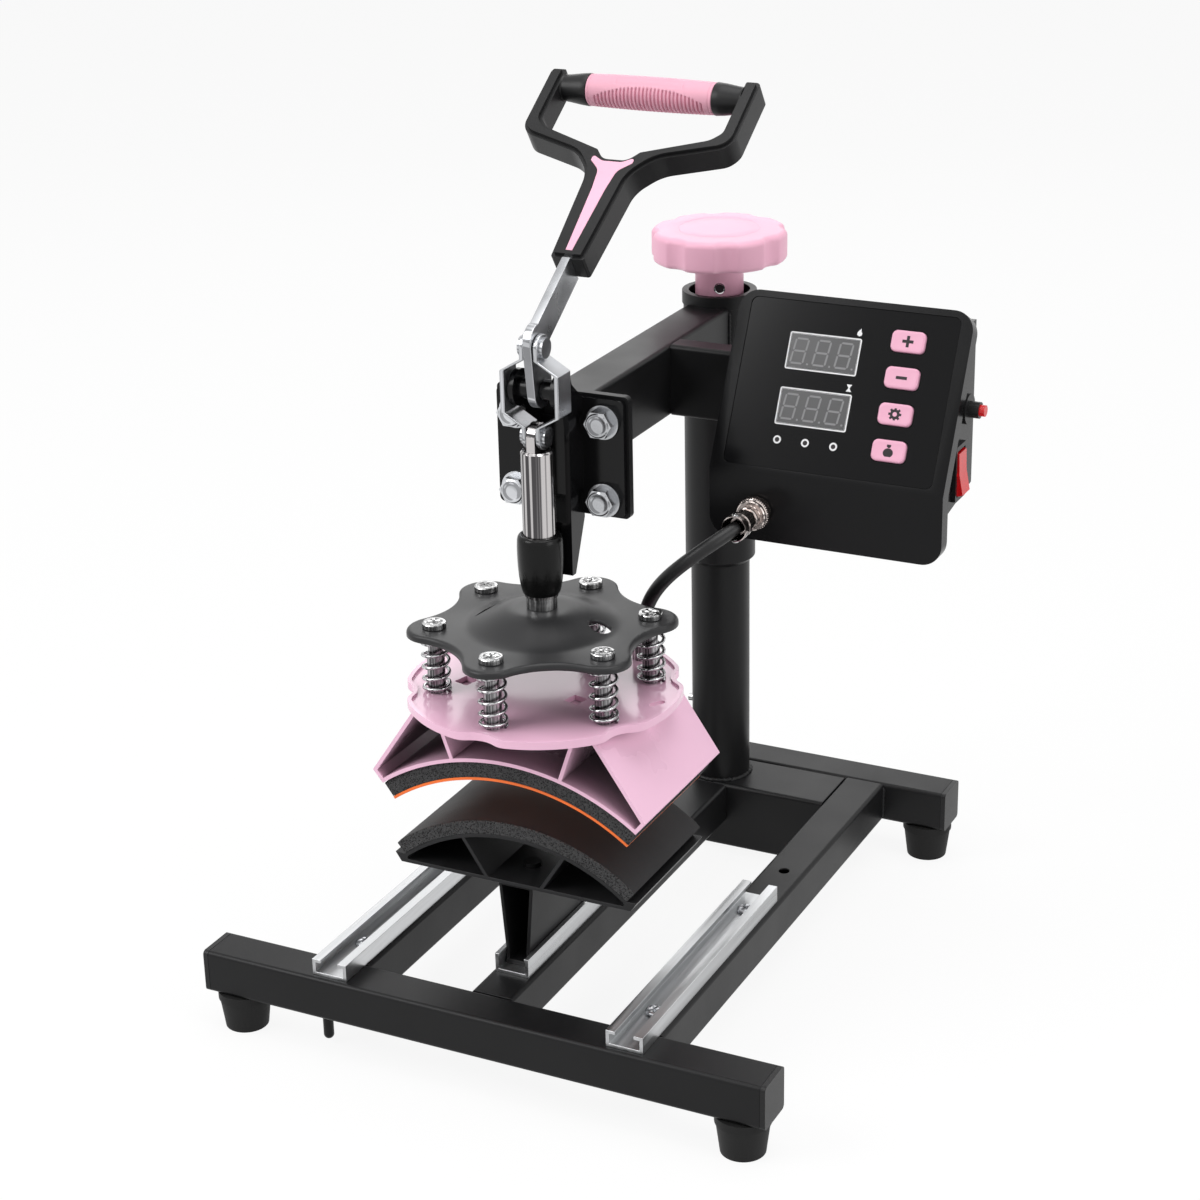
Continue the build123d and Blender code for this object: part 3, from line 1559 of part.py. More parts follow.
def build():
    """Every node of the press, by name."""
    nodes = {
        "cross_tubes": cross_tubes(),
        "tube_end_caps": end_caps(),
        "side_tubes": side_tubes(),
        "centre_tube": centre_tube(),
        "post_seat_beam": post_seat_beam(),
        "rubber_feet": rubber_feet(),
        "locating_pin": locating_pin(),
        "side_rails": side_rails(),
        "centre_rail": centre_rail(),
        "rail_screws": rail_screws(),
        "post": post(),
        "post_nut": post_nut(),
        "post_stop_screw": post_stop_screw(),
        "thrust_collar": thrust_collar(),
        "height_knob": height_knob(),
        "height_screw": height_screw(),
        "swing_sleeve": swing_sleeve(),
        "arm_tube": arm_tube(),
        "clamp_bracket": clamp_bracket(),
        "guide_sleeve": guide_sleeve(),
        "bracket_bolts": bracket_bolts(),
        "pivot_pin": pivot_pin(),
        "lever_bar": lever_bar(),
        "toggle_links": [toggle_link(-1), toggle_link(1)],
        "link_rivets": link_rivets(),
        "plunger_rod": plunger_rod(),
        "plunger_nut": plunger_nut(),
        "star_plate": star_plate(),
        "platen_screws": platen_screws(),
        "platen_springs": springs(),
        "heat_disc": heat_disc(),
        "heater_housing": heater_housing(),
        "upper_foam": upper_foam(),
        "heater_sheet": heater_sheet(),
        "lower_platen": lower_platen(),
        "lower_foam": lower_foam(),
        "platen_stand": platen_stand(),
        "stand_screws": stand_screws(),
        "control_bezel": control_bezel(),
        "control_housing": control_housing(),
        "label_panel": label_panel(),
        "display_windows": display_windows(),
        "indicator_lamps": indicator_lamps(),
        "circuit_board": circuit_board(),
        "connector_socket": connector_socket(),
        "cable_plug": cable_plug(),
        "switch_fittings": [breaker_body(), rocker_frame()],
        "breaker_button": breaker_button(),
        "rocker_switch": rocker_switch(),
        "mains_gland": mains_gland(),
        "box_bracket": box_bracket(),
        "handle_frame": handle_frame(),
        "handle_inlay": handle_inlay(),
        "grip_sleeve": grip_sleeve(),
        "cable_gland": cable_gland(),
        "heater_cable": heater_cable(),
    }
    for index, name in enumerate(("plus_key", "minus_key", "set_key", "mode_key")):
        nodes[name] = key(index)
    return nodes


os.makedirs("parts", exist_ok=True)
print("least gap of a spring to itself", round(spring_self_gap(), 2))
for name, shape in build().items():
    export_step(Compound(children=shape) if isinstance(shape, list) else shape, f"parts/{name}.step")
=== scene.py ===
import math

import bmesh
import bpy
import numpy as np
from mathutils import Matrix, Vector


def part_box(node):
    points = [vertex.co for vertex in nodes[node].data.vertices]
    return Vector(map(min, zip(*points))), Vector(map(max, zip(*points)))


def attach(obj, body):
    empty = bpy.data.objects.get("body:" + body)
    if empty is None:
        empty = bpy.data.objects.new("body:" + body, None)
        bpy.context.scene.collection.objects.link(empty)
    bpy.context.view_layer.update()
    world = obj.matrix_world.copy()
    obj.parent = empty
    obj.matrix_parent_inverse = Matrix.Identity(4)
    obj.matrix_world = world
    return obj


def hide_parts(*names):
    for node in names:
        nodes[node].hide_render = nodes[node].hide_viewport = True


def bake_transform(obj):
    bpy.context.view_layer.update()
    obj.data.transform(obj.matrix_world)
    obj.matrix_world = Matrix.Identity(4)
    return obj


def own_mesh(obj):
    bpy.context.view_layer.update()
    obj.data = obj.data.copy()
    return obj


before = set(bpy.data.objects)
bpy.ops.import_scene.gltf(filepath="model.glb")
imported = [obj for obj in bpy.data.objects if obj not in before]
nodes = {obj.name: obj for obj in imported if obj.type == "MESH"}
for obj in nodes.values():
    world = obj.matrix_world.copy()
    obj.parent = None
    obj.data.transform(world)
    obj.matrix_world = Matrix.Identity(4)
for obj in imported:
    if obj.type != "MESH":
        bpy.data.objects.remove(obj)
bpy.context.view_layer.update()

# Combo heat press: the looks. Everything is in metres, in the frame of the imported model.
# X runs to the right, Y to the back and Z up, from the foot of the post.
MM = 0.001


# Base frame: square steel tubes, a box beam that seats the post, and a pin under the front tube.
# They are welded together and powder-coated in a fine black. Every finish is made as this coat is,
# with a fine relief and with a broad, soft unevenness in its colour and gloss.


def relief_group():
    """Noise in object space: a fine bump, its value, and a broad value for wear and smudges."""
    group = bpy.data.node_groups.new("surface_relief", "ShaderNodeTree")
    inputs = (("Scale", "NodeSocketFloat"), ("Stretch", "NodeSocketVector"), ("Height", "NodeSocketFloat"))
    for name, kind in inputs:
        group.interface.new_socket(name, in_out="INPUT", socket_type=kind)
    outputs = (("Fine", "NodeSocketFloat"), ("Broad", "NodeSocketFloat"), ("Normal", "NodeSocketVector"))
    for name, kind in outputs:
        group.interface.new_socket(name, in_out="OUTPUT", socket_type=kind)
    add, link = group.nodes.new, group.links.new
    given, result = add("NodeGroupInput"), add("NodeGroupOutput")
    place, mapping = add("ShaderNodeTexCoord"), add("ShaderNodeMapping")
    fine, broad, bump = add("ShaderNodeTexNoise"), add("ShaderNodeTexNoise"), add("ShaderNodeBump")
    fine.inputs["Detail"].default_value = 4.0
    broad.inputs["Scale"].default_value = 22.0
    broad.inputs["Detail"].default_value = 3.0
    link(place.outputs["Object"], mapping.inputs["Vector"])
    link(given.outputs["Stretch"], mapping.inputs["Scale"])
    link(mapping.outputs["Vector"], fine.inputs["Vector"])
    link(mapping.outputs["Vector"], broad.inputs["Vector"])
    link(given.outputs["Scale"], fine.inputs["Scale"])
    link(fine.outputs["Fac"], bump.inputs["Height"])
    link(given.outputs["Height"], bump.inputs["Distance"])
    link(fine.outputs["Fac"], result.inputs["Fine"])
    link(broad.outputs["Fac"], result.inputs["Broad"])
    link(bump.outputs["Normal"], result.inputs["Normal"])
    return group


relief = relief_group()


def finish(name, color, metallic=0.0, roughness=0.4, spread=0.08, tint=0.12, scale=900.0,
           stretch=(1, 1, 1), height=0.02, coat=0.0, specular=0.5, by="Broad"):
    """A surface with relief of a height in millimetres. Gloss varies by spread and colour by tint."""
    material = bpy.data.materials.new(name)
    material.use_nodes = True
    tree = material.node_tree
    add, link = tree.nodes.new, tree.links.new
    shader = tree.nodes["Principled BSDF"]
    shader.inputs["Metallic"].default_value = metallic
    shader.inputs["Specular IOR Level"].default_value = specular
    shader.inputs["Coat Weight"].default_value = coat
    shader.inputs["Coat Roughness"].default_value = 0.08
    noise, gloss, ramp = add("ShaderNodeGroup"), add("ShaderNodeMapRange"), add("ShaderNodeValToRGB")
    noise.node_tree = relief
    noise.inputs["Scale"].default_value = scale
    noise.inputs["Stretch"].default_value = stretch
    noise.inputs["Height"].default_value = height * MM
    gloss.inputs["From Min"].default_value = 0.3
    gloss.inputs["From Max"].default_value = 0.7
    gloss.inputs["To Min"].default_value = max(roughness - spread, 0.02)
    gloss.inputs["To Max"].default_value = roughness + spread
    ramp.color_ramp.elements[0].position = 0.3
    ramp.color_ramp.elements[1].position = 0.7
    ramp.color_ramp.elements[0].color = [max(c * (1 - tint), 0) for c in color] + [1]
    ramp.color_ramp.elements[1].color = [min(c * (1 + tint), 1) for c in color] + [1]
    link(noise.outputs["Broad"], gloss.inputs["Value"])
    link(gloss.outputs["Result"], shader.inputs["Roughness"])
    link(noise.outputs[by], ramp.inputs["Fac"])
    link(ramp.outputs["Color"], shader.inputs["Base Color"])
    link(noise.outputs["Normal"], shader.inputs["Normal"])
    return material


def round_edges(obj, width, segments=3, angle=32):
    """Rounds the sharp edges and evens out the shading."""
    weld = obj.modifiers.new("weld", "WELD")
    weld.merge_threshold = 2e-6
    bevel = obj.modifiers.new("edges", "BEVEL")
    bevel.width = width
    bevel.segments = segments
    bevel.limit_method = "ANGLE"
    bevel.angle_limit = math.radians(angle)
    bevel.miter_outer = "MITER_ARC"
    obj.modifiers.new("normals", "WEIGHTED_NORMAL").keep_sharp = False


def dress(material, edge, *names):
    """Gives CAD nodes that keep their shape a finish, edges softened in millimetres and even shading."""
    for name in names:
        node = nodes[name]
        node.data.materials.clear()
        node.data.materials.append(material)
        node.data.shade_smooth()
        round_edges(node, edge * MM)


powder_black = finish(
    "powder_black", (0.008, 0.008, 0.0085), roughness=0.38, spread=0.04, scale=1500, height=0.035,
    specular=0.19
)
dress(powder_black, 0.5, "cross_tubes", "side_tubes", "centre_tube", "post_seat_beam", "locating_pin")


# Welds of the frame: small rippled beads of filler steel, run upwards at the ends of the side tubes
# and round the foot of the post, and coated together with the tubes.


def grid_faces(rows, columns, wrap_rows=False, wrap_columns=False):
    """Quads between neighbours in a grid of points, which may close on itself both ways."""
    row = np.arange(rows if wrap_rows else rows - 1)
    column = np.arange(columns if wrap_columns else columns - 1)
    i, j = (part.ravel() for part in np.meshgrid(row, column, indexing="ij"))
    here, below, beside = i * columns, (i + 1) % rows * columns, (j + 1) % columns
    return np.stack([here + j, here + beside, below + beside, below + j], 1)


def add_mesh(name, points, faces, material, body, place=None):
    """A mesh piece that rides on a CAD body, with its place worked into its points."""
    mesh = bpy.data.meshes.new(name)
    mesh.from_pydata([tuple(map(float, p)) for p in points], [], [tuple(map(int, f)) for f in faces])
    mesh.validate()
    for one in material if isinstance(material, tuple) else (material,):
        mesh.materials.append(one)
    if place is not None:
        mesh.transform(place)
    mesh.shade_smooth()
    obj = bpy.data.objects.new(name, mesh)
    bpy.context.scene.collection.objects.link(obj)
    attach(obj, body)
    return obj


def clean(obj, angle=30):
    """Merges double points, closes the open ends, turns the faces outward and marks sharp edges."""
    work = bmesh.new()
    work.from_mesh(obj.data)
    bmesh.ops.remove_doubles(work, verts=work.verts, dist=1e-6)
    bmesh.ops.holes_fill(work, edges=[e for e in work.edges if e.is_boundary], sides=0)
    bmesh.ops.recalc_face_normals(work, faces=work.faces)
    limit = math.radians(angle)
    for edge in work.edges:
        edge.smooth = not edge.is_manifold or edge.calc_face_angle(0) < limit
    work.to_mesh(obj.data)
    work.free()
    obj.data.update()


ripple_length = 1.1


def bead(name, corners_of_path, body, size=1.5):
    """Weld bead: circles carried along a path, whose radius swells and falls at every third step."""
    stops = [Vector(p) * MM for p in corners_of_path]
    path = []
    for a, b in zip(stops, stops[1:]):
        steps = max(int((b - a).length / (ripple_length * MM)), 1)
        path += [a.lerp(b, i / steps) for i in range(steps)]
    path.append(stops[-1])
    turn = np.linspace(0, 2 * math.pi, 8, endpoint=False)
    rings = []
    for index, at in enumerate(path):
        ahead = (path[min(index + 1, len(path) - 1)] - path[max(index - 1, 0)]).normalized()
        side = ahead.orthogonal().normalized()
        up = ahead.cross(side)
        taper = 0.35 if index in (0, len(path) - 1) else 1
        radius = size * MM * (0.8 + 0.28 * (index % 3) / 2) * taper
        rings.append(np.array(at) + radius * (np.outer(np.cos(turn), side) + np.outer(np.sin(turn), up)))
    faces = grid_faces(len(rings), len(turn), wrap_columns=True)
    obj = add_mesh(name, np.concatenate(rings), faces, powder_black, body)
    clean(obj, 80)


side_tube_x, half_tube = 92, 13
front_joint, rear_joint = -314.8, 20.8
weld_foot, weld_head = 26, 47
for side in (-1, 1):
    for x in (side * side_tube_x - half_tube, side * side_tube_x + half_tube):
        bead(f"weld_front_{x}", [(x, front_joint, weld_foot), (x, front_joint, weld_head)], "base")
    x = side * (side_tube_x + half_tube)
    bead(f"weld_rear_{side}", [(x, rear_joint, weld_foot), (x, rear_joint, weld_head)], "base")
post_weld_radius, post_weld_z = 18.7, 49.6
turn = np.linspace(0, 2 * math.pi, 49)
ring = [(post_weld_radius * math.cos(t), post_weld_radius * math.sin(t), post_weld_z) for t in turn]
bead("weld_post", ring, "base", 1.8)


# End caps and feet: moulded plastic caps are pressed into the ends of the cross tubes, and tapered
# rubber feet are screwed under them. Both are matt black.

moulded_black = finish(
    "moulded_black", (0.011, 0.011, 0.0115), roughness=0.36, spread=0.04, scale=2600, height=0.04,
    specular=0.24
)
rubber_black = finish(
    "rubber_black", (0.011, 0.011, 0.011), roughness=0.6, spread=0.06, scale=1200, height=0.05, specular=0.2
)
dress(moulded_black, 0.8, "tube_end_caps")
dress(rubber_black, 1.2, "rubber_feet")


# Rails: bare channels of extruded aluminium, drawn and scratched along their length. Bright metal mirrors
# the dark cards of a studio, which are painted in: noise on the direction of reflection darkens the colour.


def painted_reflection_group():
    """Painted reflection: dark shapes of a studio, as a mirror would show them, multiplied into a metal's
    colour.
    """
    group = bpy.data.node_groups.new("painted_studio_reflection", "ShaderNodeTree")
    group.interface.new_socket("Color", in_out="INPUT", socket_type="NodeSocketColor")
    group.interface.new_socket("Share", in_out="INPUT", socket_type="NodeSocketFloat")
    group.interface.new_socket("Color", in_out="OUTPUT", socket_type="NodeSocketColor")
    add, link = group.nodes.new, group.links.new
    given, result = add("NodeGroupInput"), add("NodeGroupOutput")
    place, painted_cards = add("ShaderNodeTexCoord"), add("ShaderNodeTexNoise")
    painted_cards.inputs["Scale"].default_value = 2.3
    painted_cards.inputs["Detail"].default_value = 0.6
    # The dark cards are painted reflection, picked out by the direction of reflection.
    ramp, mix = add("ShaderNodeValToRGB"), add("ShaderNodeMix")
    ramp.color_ramp.elements[0].position = 0.43
    ramp.color_ramp.elements[0].color = (0.06, 0.06, 0.065, 1)
    ramp.color_ramp.elements[1].position = 0.54
    mix.data_type = "RGBA"
    mix.blend_type = "MULTIPLY"
    link(place.outputs["Reflection"], painted_cards.inputs["Vector"])
    link(painted_cards.outputs["Fac"], ramp.inputs["Fac"])
    link(given.outputs["Share"], mix.inputs["Factor"])
    link(given.outputs["Color"], mix.inputs["A"])
    link(ramp.outputs["Color"], mix.inputs["B"])
    link(mix.outputs["Result"], result.inputs["Color"])
    return group


studio = painted_reflection_group()


def metal(name, color, painted_cards, **looks):
    """A bare metal finish with a painted reflection of the studio's dark cards, by a share."""
    material = finish(name, color, metallic=1.0, **looks)
    tree = material.node_tree
    base = tree.nodes["Principled BSDF"].inputs["Base Color"]
    # Painted reflection: the studio's dark cards darken the base colour.
    mirror = tree.nodes.new("ShaderNodeGroup")
    mirror.node_tree = studio
    mirror.inputs["Share"].default_value = painted_cards
    tree.links.new(base.links[0].from_socket, mirror.inputs["Color"])
    tree.links.new(mirror.outputs["Color"], base)
    return material


rail_metal = metal(
    "rail_metal", (0.7, 0.71, 0.72), 0.35, roughness=0.36, spread=0.1, tint=0.2, scale=260,
    stretch=(8, 0.35, 8), height=0.02
)
dress(rail_metal, 0.2, "side_rails", "centre_rail")


# Rail screws: low pan heads of zinc-plated steel with a cross recess, which hold the side rails down
# on their tubes. They are turned, and the recess is cut out.


def corners(node):
    """Lowest and highest corner of a CAD node, as arrays."""
    low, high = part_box(node)
    return np.array(low), np.array(high)


def lathe(name, profile, place, material, body, count=72, radius=None, edges=30):
    """Turned piece: pairs of radius and height in millimetres, swept round the local Z."""
    turn = np.linspace(0, 2 * math.pi, count, endpoint=False)
    points = []
    for r, h in profile:
        swell = r if radius is None else radius(r, h, turn)
        points.append(np.stack([swell * np.cos(turn), swell * np.sin(turn), np.full(count, h)], 1))
    faces = grid_faces(len(profile), count, wrap_columns=True)
    obj = add_mesh(name, np.concatenate(points) * MM, faces, material, body, place)
    clean(obj, edges)
    return obj


def plate(name, outline, low, high, place, material, body):
    """Flat piece: an outline in millimetres in the local X and Y, raised from low to high."""
    count = len(outline)
    points = [(x * MM, y * MM, z * MM) for z in (low, high) for x, y in outline]
    faces = [tuple(reversed(range(count))), tuple(range(count, 2 * count))]
    faces += [(i, (i + 1) % count, count + (i + 1) % count, count + i) for i in range(count)]
    obj = add_mesh(name, points, faces, material, body, place)
    clean(obj)
    return obj


def carve(obj, *cutters):
    """Cuts the cutters out of a piece and removes them."""
    for cutter in cutters:
        cut = obj.modifiers.new("cut", "BOOLEAN")
        cut.operation = "DIFFERENCE"
        cut.solver = "EXACT"
        cut.object = cutter
    graph = bpy.context.evaluated_depsgraph_get()
    mesh = bpy.data.meshes.new_from_object(obj.evaluated_get(graph))
    obj.modifiers.clear()
    obj.data = mesh
    for cutter in cutters:
        bpy.data.objects.remove(cutter)


satin_zinc = metal(
    "satin_zinc", (0.56, 0.57, 0.59), 0.55, roughness=0.28, spread=0.1, tint=0.24, scale=900, height=0.02
)
dull_zinc = metal(
    "dull_zinc", (0.42, 0.41, 0.42), 0.85, roughness=0.25, spread=0.08, tint=0.2, scale=500, height=0.015
)
slot_half, slot_reach = 0.75, 3.1
branch = [(slot_half, slot_half), (slot_reach, slot_half), (slot_reach, -slot_half)]
recess = list(branch)
for quarter in range(3):
    branch = [(y, -x) for x, y in branch]
    recess += branch


def cross_screw(name, place, top, head, height, shank, bottom, body, material, sleeve=None):
    """Screw along the local Z: a head with a cross recess, a shank and, if given, a spacer on it."""
    profile = [(0.01, top), (head - 1.0, top), (head - 0.35, top - 0.2), (head, top - 0.7)]
    profile += [(head, top - height + 0.4), (head - 0.3, top - height), (shank, top - height)]
    if sleeve:
        radius, upper, lower = sleeve
        profile += [(shank, upper + 0.6), (radius - 0.5, upper + 0.4), (radius, upper), (radius, lower)]
        profile.append((shank, lower))
    profile += [(shank, bottom), (0.01, bottom)]
    obj = lathe(name, profile, place, material, body, 48)
    turned = place @ Matrix.Rotation(0.5, 4, "Z")
    carve(obj, plate("cut_cross", recess, top - 1.6, top + 1, turned, material, body))
    obj.data.materials.append(dull_zinc)
    for polygon in obj.data.polygons:
        if polygon.center.z < (top - height - 0.2) * MM:
            polygon.material_index = len(obj.data.materials) - 1
    return obj


low, high = corners("rail_screws")
rail_screw_spots = [(side, y) for side in (-1, 1) for y in (-298.8, -173.8)]
for index, (side, y) in enumerate(rail_screw_spots):
    place = Matrix.Translation((side * side_tube_x * MM, y * MM, 0)) @ Matrix.Rotation(0.7 * index, 4, "Z")
    top, bottom = high[2] / MM, low[2] / MM
    screw = cross_screw(f"rail_screw_{index}", place, top, 5.0, 2.2, 3.0, bottom, "base", satin_zinc)
    if index == 0:
        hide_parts("rail_screws")


# Lower platen: an arched aluminium extrusion with webs, black anodised and drawn along its length,
# screwed to a folded steel stand that slides in the centre rail.

anodised_black = finish(
    "anodised_black", (0.018, 0.018, 0.019), metallic=0.3, roughness=0.42, scale=700, stretch=(6, 0.5, 6),
    height=0.02, specular=0.3
)
dress(powder_black, 0.5, "platen_stand", "stand_screws")
dress(anodised_black, 0.3, "lower_platen")


# Lower pad: a sheet of open-cell silicone foam, bent over the platen and glued down. Its broad faces
# have a smooth skin, and its cut ends and sides show the cells.


def foam(name, color, cell, depth):
    """Open-cell foam: paler skins with painted shade in the pores, from the distance to the nearest cell
    centre.
    """
    material = finish(
        name, color, roughness=0.85, spread=0.1, tint=0.3, scale=1400, height=0.12, specular=0.25, by="Fine"
    )
    tree = material.node_tree
    add, link = tree.nodes.new, tree.links.new
    shader = tree.nodes["Principled BSDF"]
    place, cells, pores = add("ShaderNodeTexCoord"), add("ShaderNodeTexVoronoi"), add("ShaderNodeBump")
    cells.inputs["Scale"].default_value = cell
    pores.inputs["Distance"].default_value = depth * MM
    pores.inputs["Strength"].default_value = 1.0
    # Painted shade: the colour darkens towards each cell centre, where the pores sink in.
    shade, pore_shade = add("ShaderNodeMix"), add("ShaderNodeValToRGB")
    shade.data_type = "RGBA"
    shade.blend_type = "MULTIPLY"
    shade.inputs["Factor"].default_value = 0.9
    pore_shade.color_ramp.elements[0].position = 0.18
    pore_shade.color_ramp.elements[0].color = (0.02, 0.02, 0.02, 1)
    pore_shade.color_ramp.elements[1].position = 0.5
    link(place.outputs["Object"], cells.inputs["Vector"])
    link(cells.outputs["Distance"], pores.inputs["Height"])
    link(shader.inputs["Normal"].links[0].from_socket, pores.inputs["Normal"])
    link(pores.outputs["Normal"], shader.inputs["Normal"])
    link(cells.outputs["Distance"], pore_shade.inputs["Fac"])
    link(shader.inputs["Base Color"].links[0].from_socket, shade.inputs["A"])
    link(pore_shade.outputs["Color"], shade.inputs["B"])
    link(shade.outputs["Result"], shader.inputs["Base Color"])
    return material


foam_cut = foam("foam_cut", (0.06, 0.06, 0.061), 900, 1.0)
foam_skin = finish(
    "foam_skin", (0.014, 0.0135, 0.0145), roughness=0.6, spread=0.04, tint=0.2, scale=2600, height=0.09,
    specular=0.3, by="Fine"
)


def foam_band(name, node, body, centre_z, outer, inner, half_angle):
    """Arched pad on a grid of length and angle: two arcs whose outer one sinks towards all its edges."""
    low, high = corners(node)
    depth = (high[1] - low[1]) / MM
    edge, soft_corner, grain = 1.1, 1.2, 0.05
    rim = np.linspace(0.12, 1, 5) * edge
    along = np.concatenate([[0], rim, np.linspace(3, depth - 3, 26), depth - rim[::-1], [depth]])[:, None]
    sweep = np.linspace(-half_angle, half_angle, 48)
    angle = np.concatenate([sweep, -sweep])
    radius = np.repeat([outer, inner], len(sweep))
    from_end = np.minimum(np.minimum(along, depth - along), edge)
    sunk = edge - np.sqrt(np.maximum(edge**2 - (edge - from_end) ** 2, 0))
    from_side = (half_angle - np.abs(angle)) * radius
    corner = np.maximum(0, soft_corner - from_side) ** 2 * 0.35
    rough = grain * np.random.default_rng(3).random((len(along), len(angle)))
    shift = -(sunk + corner + rough) * (radius == outer)
    bent = angle - sunk / radius * 0.6 * np.sign(angle) * (from_side < 2)
    reach = radius + shift
    points = np.stack([reach * np.sin(bent), along + 0 * reach, centre_z + reach * np.cos(bent)], 2)
    faces = grid_faces(len(along), len(angle), wrap_columns=True)
    points = points.reshape(-1, 3) * MM + np.array((0, low[1], 0))
    obj = add_mesh(name, points, faces, (foam_skin, foam_cut), body)
    clean(obj, 80)
    for polygon in obj.data.polygons:
        centre, facing = polygon.center, abs(polygon.normal.y)
        turned = abs(math.atan2(centre.x, centre.z - centre_z * MM))
        polygon.material_index = 1 if facing > 0.5 or turned > half_angle - 0.006 else 0
        polygon.use_smooth = facing <= 0.98
    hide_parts(node)


foam_band("lower_pad", "lower_foam", "lower_carriage", 22.5, 118.6, 110.8, math.radians(39.1))


# Post and height screw: a black steel tube with a nut pressed into its top. The zinc-plated screw,
# its thrust collar and a small stop screw carry the arm on it.

zinc = metal(
    "zinc", (0.66, 0.66, 0.66), 0.75, roughness=0.2, spread=0.08, tint=0.14, scale=500, height=0.015
)
dress(powder_black, 0.3, "post")
dress(zinc, 0.3, "post_stop_screw", "post_nut", "height_screw", "thrust_collar")


# Swing arm: a steel sleeve that turns on the post, with a rectangular tube welded to it and an end
# plate on the tube. All of it is powder-coated as the frame is.

dress(powder_black, 0.3, "swing_sleeve")
dress(powder_black, 0.5, "arm_tube")
arm_half_width = 14
arm_weld_foot, arm_weld_head = 326, 364
for side in (-1, 1):
    x = side * arm_half_width
    bead(f"weld_arm_{side}", [(x, -17.5, arm_weld_foot), (x, -17.5, arm_weld_head)], "arm", 1.3)
    bead(f"weld_plate_{side}", [(x, -206.9, arm_weld_foot), (x, -206.9, arm_weld_head)], "arm", 1.3)


# Height knob: eight shallow flutes round a soft-edged disc of moulded plastic, on a hub with a set
# screw that holds it on the height screw. It is turned, and the flutes are let into its radius.


def ease(value):
    """Smooth step from 0 to 1."""
    value = np.clip(value, 0, 1)
    return value * value * (3 - 2 * value)


def axes(origin, across, along):
    """Matrix of a local frame from its origin and its first two axes."""
    x = Vector(across).normalized()
    y = Vector(along).normalized()
    z = x.cross(y)
    columns = (x, y, z, Vector(origin))
    return Matrix([[column[row] for column in columns] for row in range(3)] + [[0, 0, 0, 1]])


pink_plastic = finish(
    "pink_plastic", (0.87, 0.46, 0.6), roughness=0.42, spread=0.05, tint=0.03, scale=1800, height=0.02
)
chrome = metal(
    "chrome", (0.68, 0.68, 0.69), 0.85, roughness=0.12, spread=0.04, tint=0.1, scale=60, height=0.004
)
print_black = finish(
    "print_black", (0.012, 0.008, 0.01), roughness=0.45, tint=0.1, scale=900, height=0.004, specular=0.3
)
knob_radius, knob_height, hub_radius = 41.2, 19.0, 14.7
flute_reach, flute_radius, flute_start, flutes = 51.6, 13.0, math.radians(-61), 8
fluted_from, softness = 35, 0.35


def knob_edge(r, h, turn):
    """Radius of the knob, near its edge the soft minimum of its circle and of the nearest flute."""
    swing = np.mod(turn - flute_start + math.pi / flutes, 2 * math.pi / flutes) - math.pi / flutes
    inside = np.clip(flute_radius**2 - (flute_reach * np.sin(swing)) ** 2, 0, None)
    hollow = np.where(inside > 0, flute_reach * np.cos(swing) - np.sqrt(inside), knob_radius + 9)
    rim = math.exp(-(knob_radius - fluted_from) / softness)
    edge = fluted_from - softness * np.log(rim + np.exp(-(hollow - fluted_from) / softness))
    share = ease((r - 20) / 16)
    return r * (1 - share) + (edge - (knob_radius - r)) * share


low, high = corners("height_knob")
top, foot = high[2] / MM, low[2] / MM
under = top - knob_height
lower_round, upper_round = 3, 4
quarter = np.linspace(0, math.pi / 2, 7)
inner, middle_height = knob_radius - lower_round, knob_height - lower_round - upper_round
profile = [(7.5, foot), (13.9, foot), (hub_radius, foot + 0.8), (hub_radius, under - 0.6), (15.4, under)]
profile += [(22, under + 0.1), (30, under), (37.6, under)]
low_rim = under + lower_round
profile += [(inner + lower_round * math.sin(t), low_rim - lower_round * math.cos(t)) for t in quarter]
profile += [(knob_radius, low_rim + middle_height * share) for share in (0.25, 0.5, 0.75)]
quarter = np.linspace(0, math.pi / 2, 9)
inner = knob_radius - upper_round
high_rim, crown_rise = top - upper_round, 3.84
profile += [(inner + upper_round * math.cos(t), high_rim + crown_rise * math.sin(t)) for t in quarter]
profile += [(33, top - 0.08), (25.2, top), (24.6, top - 0.3), (24.0, top), (16, top), (8, top), (0.5, top)]
knob = lathe(
    "knob_body", profile, None, pink_plastic, "knob", count=288, radius=knob_edge, edges=50
)
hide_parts("height_knob")
set_screw_z, set_screw_turn = 376.8, math.radians(-66)
rim = [(2.5, -0.2), (2.9, 0.05), (3.3, 0.12), (3.5, -0.3)]
outward = Vector((math.cos(set_screw_turn), math.sin(set_screw_turn), 0))
spot = (outward * hub_radius + Vector((0, 0, set_screw_z))) * MM
front = axes(spot, Vector((0, 0, 1)).cross(outward), (0, 0, 1))
lathe("knob_hole_rim", rim, front, chrome, "knob", 40)
# The dark disc in the set screw's hole is painted shade.
lathe("knob_hole_shade", [(2.6, 0.02), (0.01, 0.03)], front, print_black, "knob", 40)


# Clamp bracket: folded and welded steel plates in gloss black, bolted to the end of the arm with four
# zinc-plated flange bolts, whose hexagons have stamped, chamfered crowns.

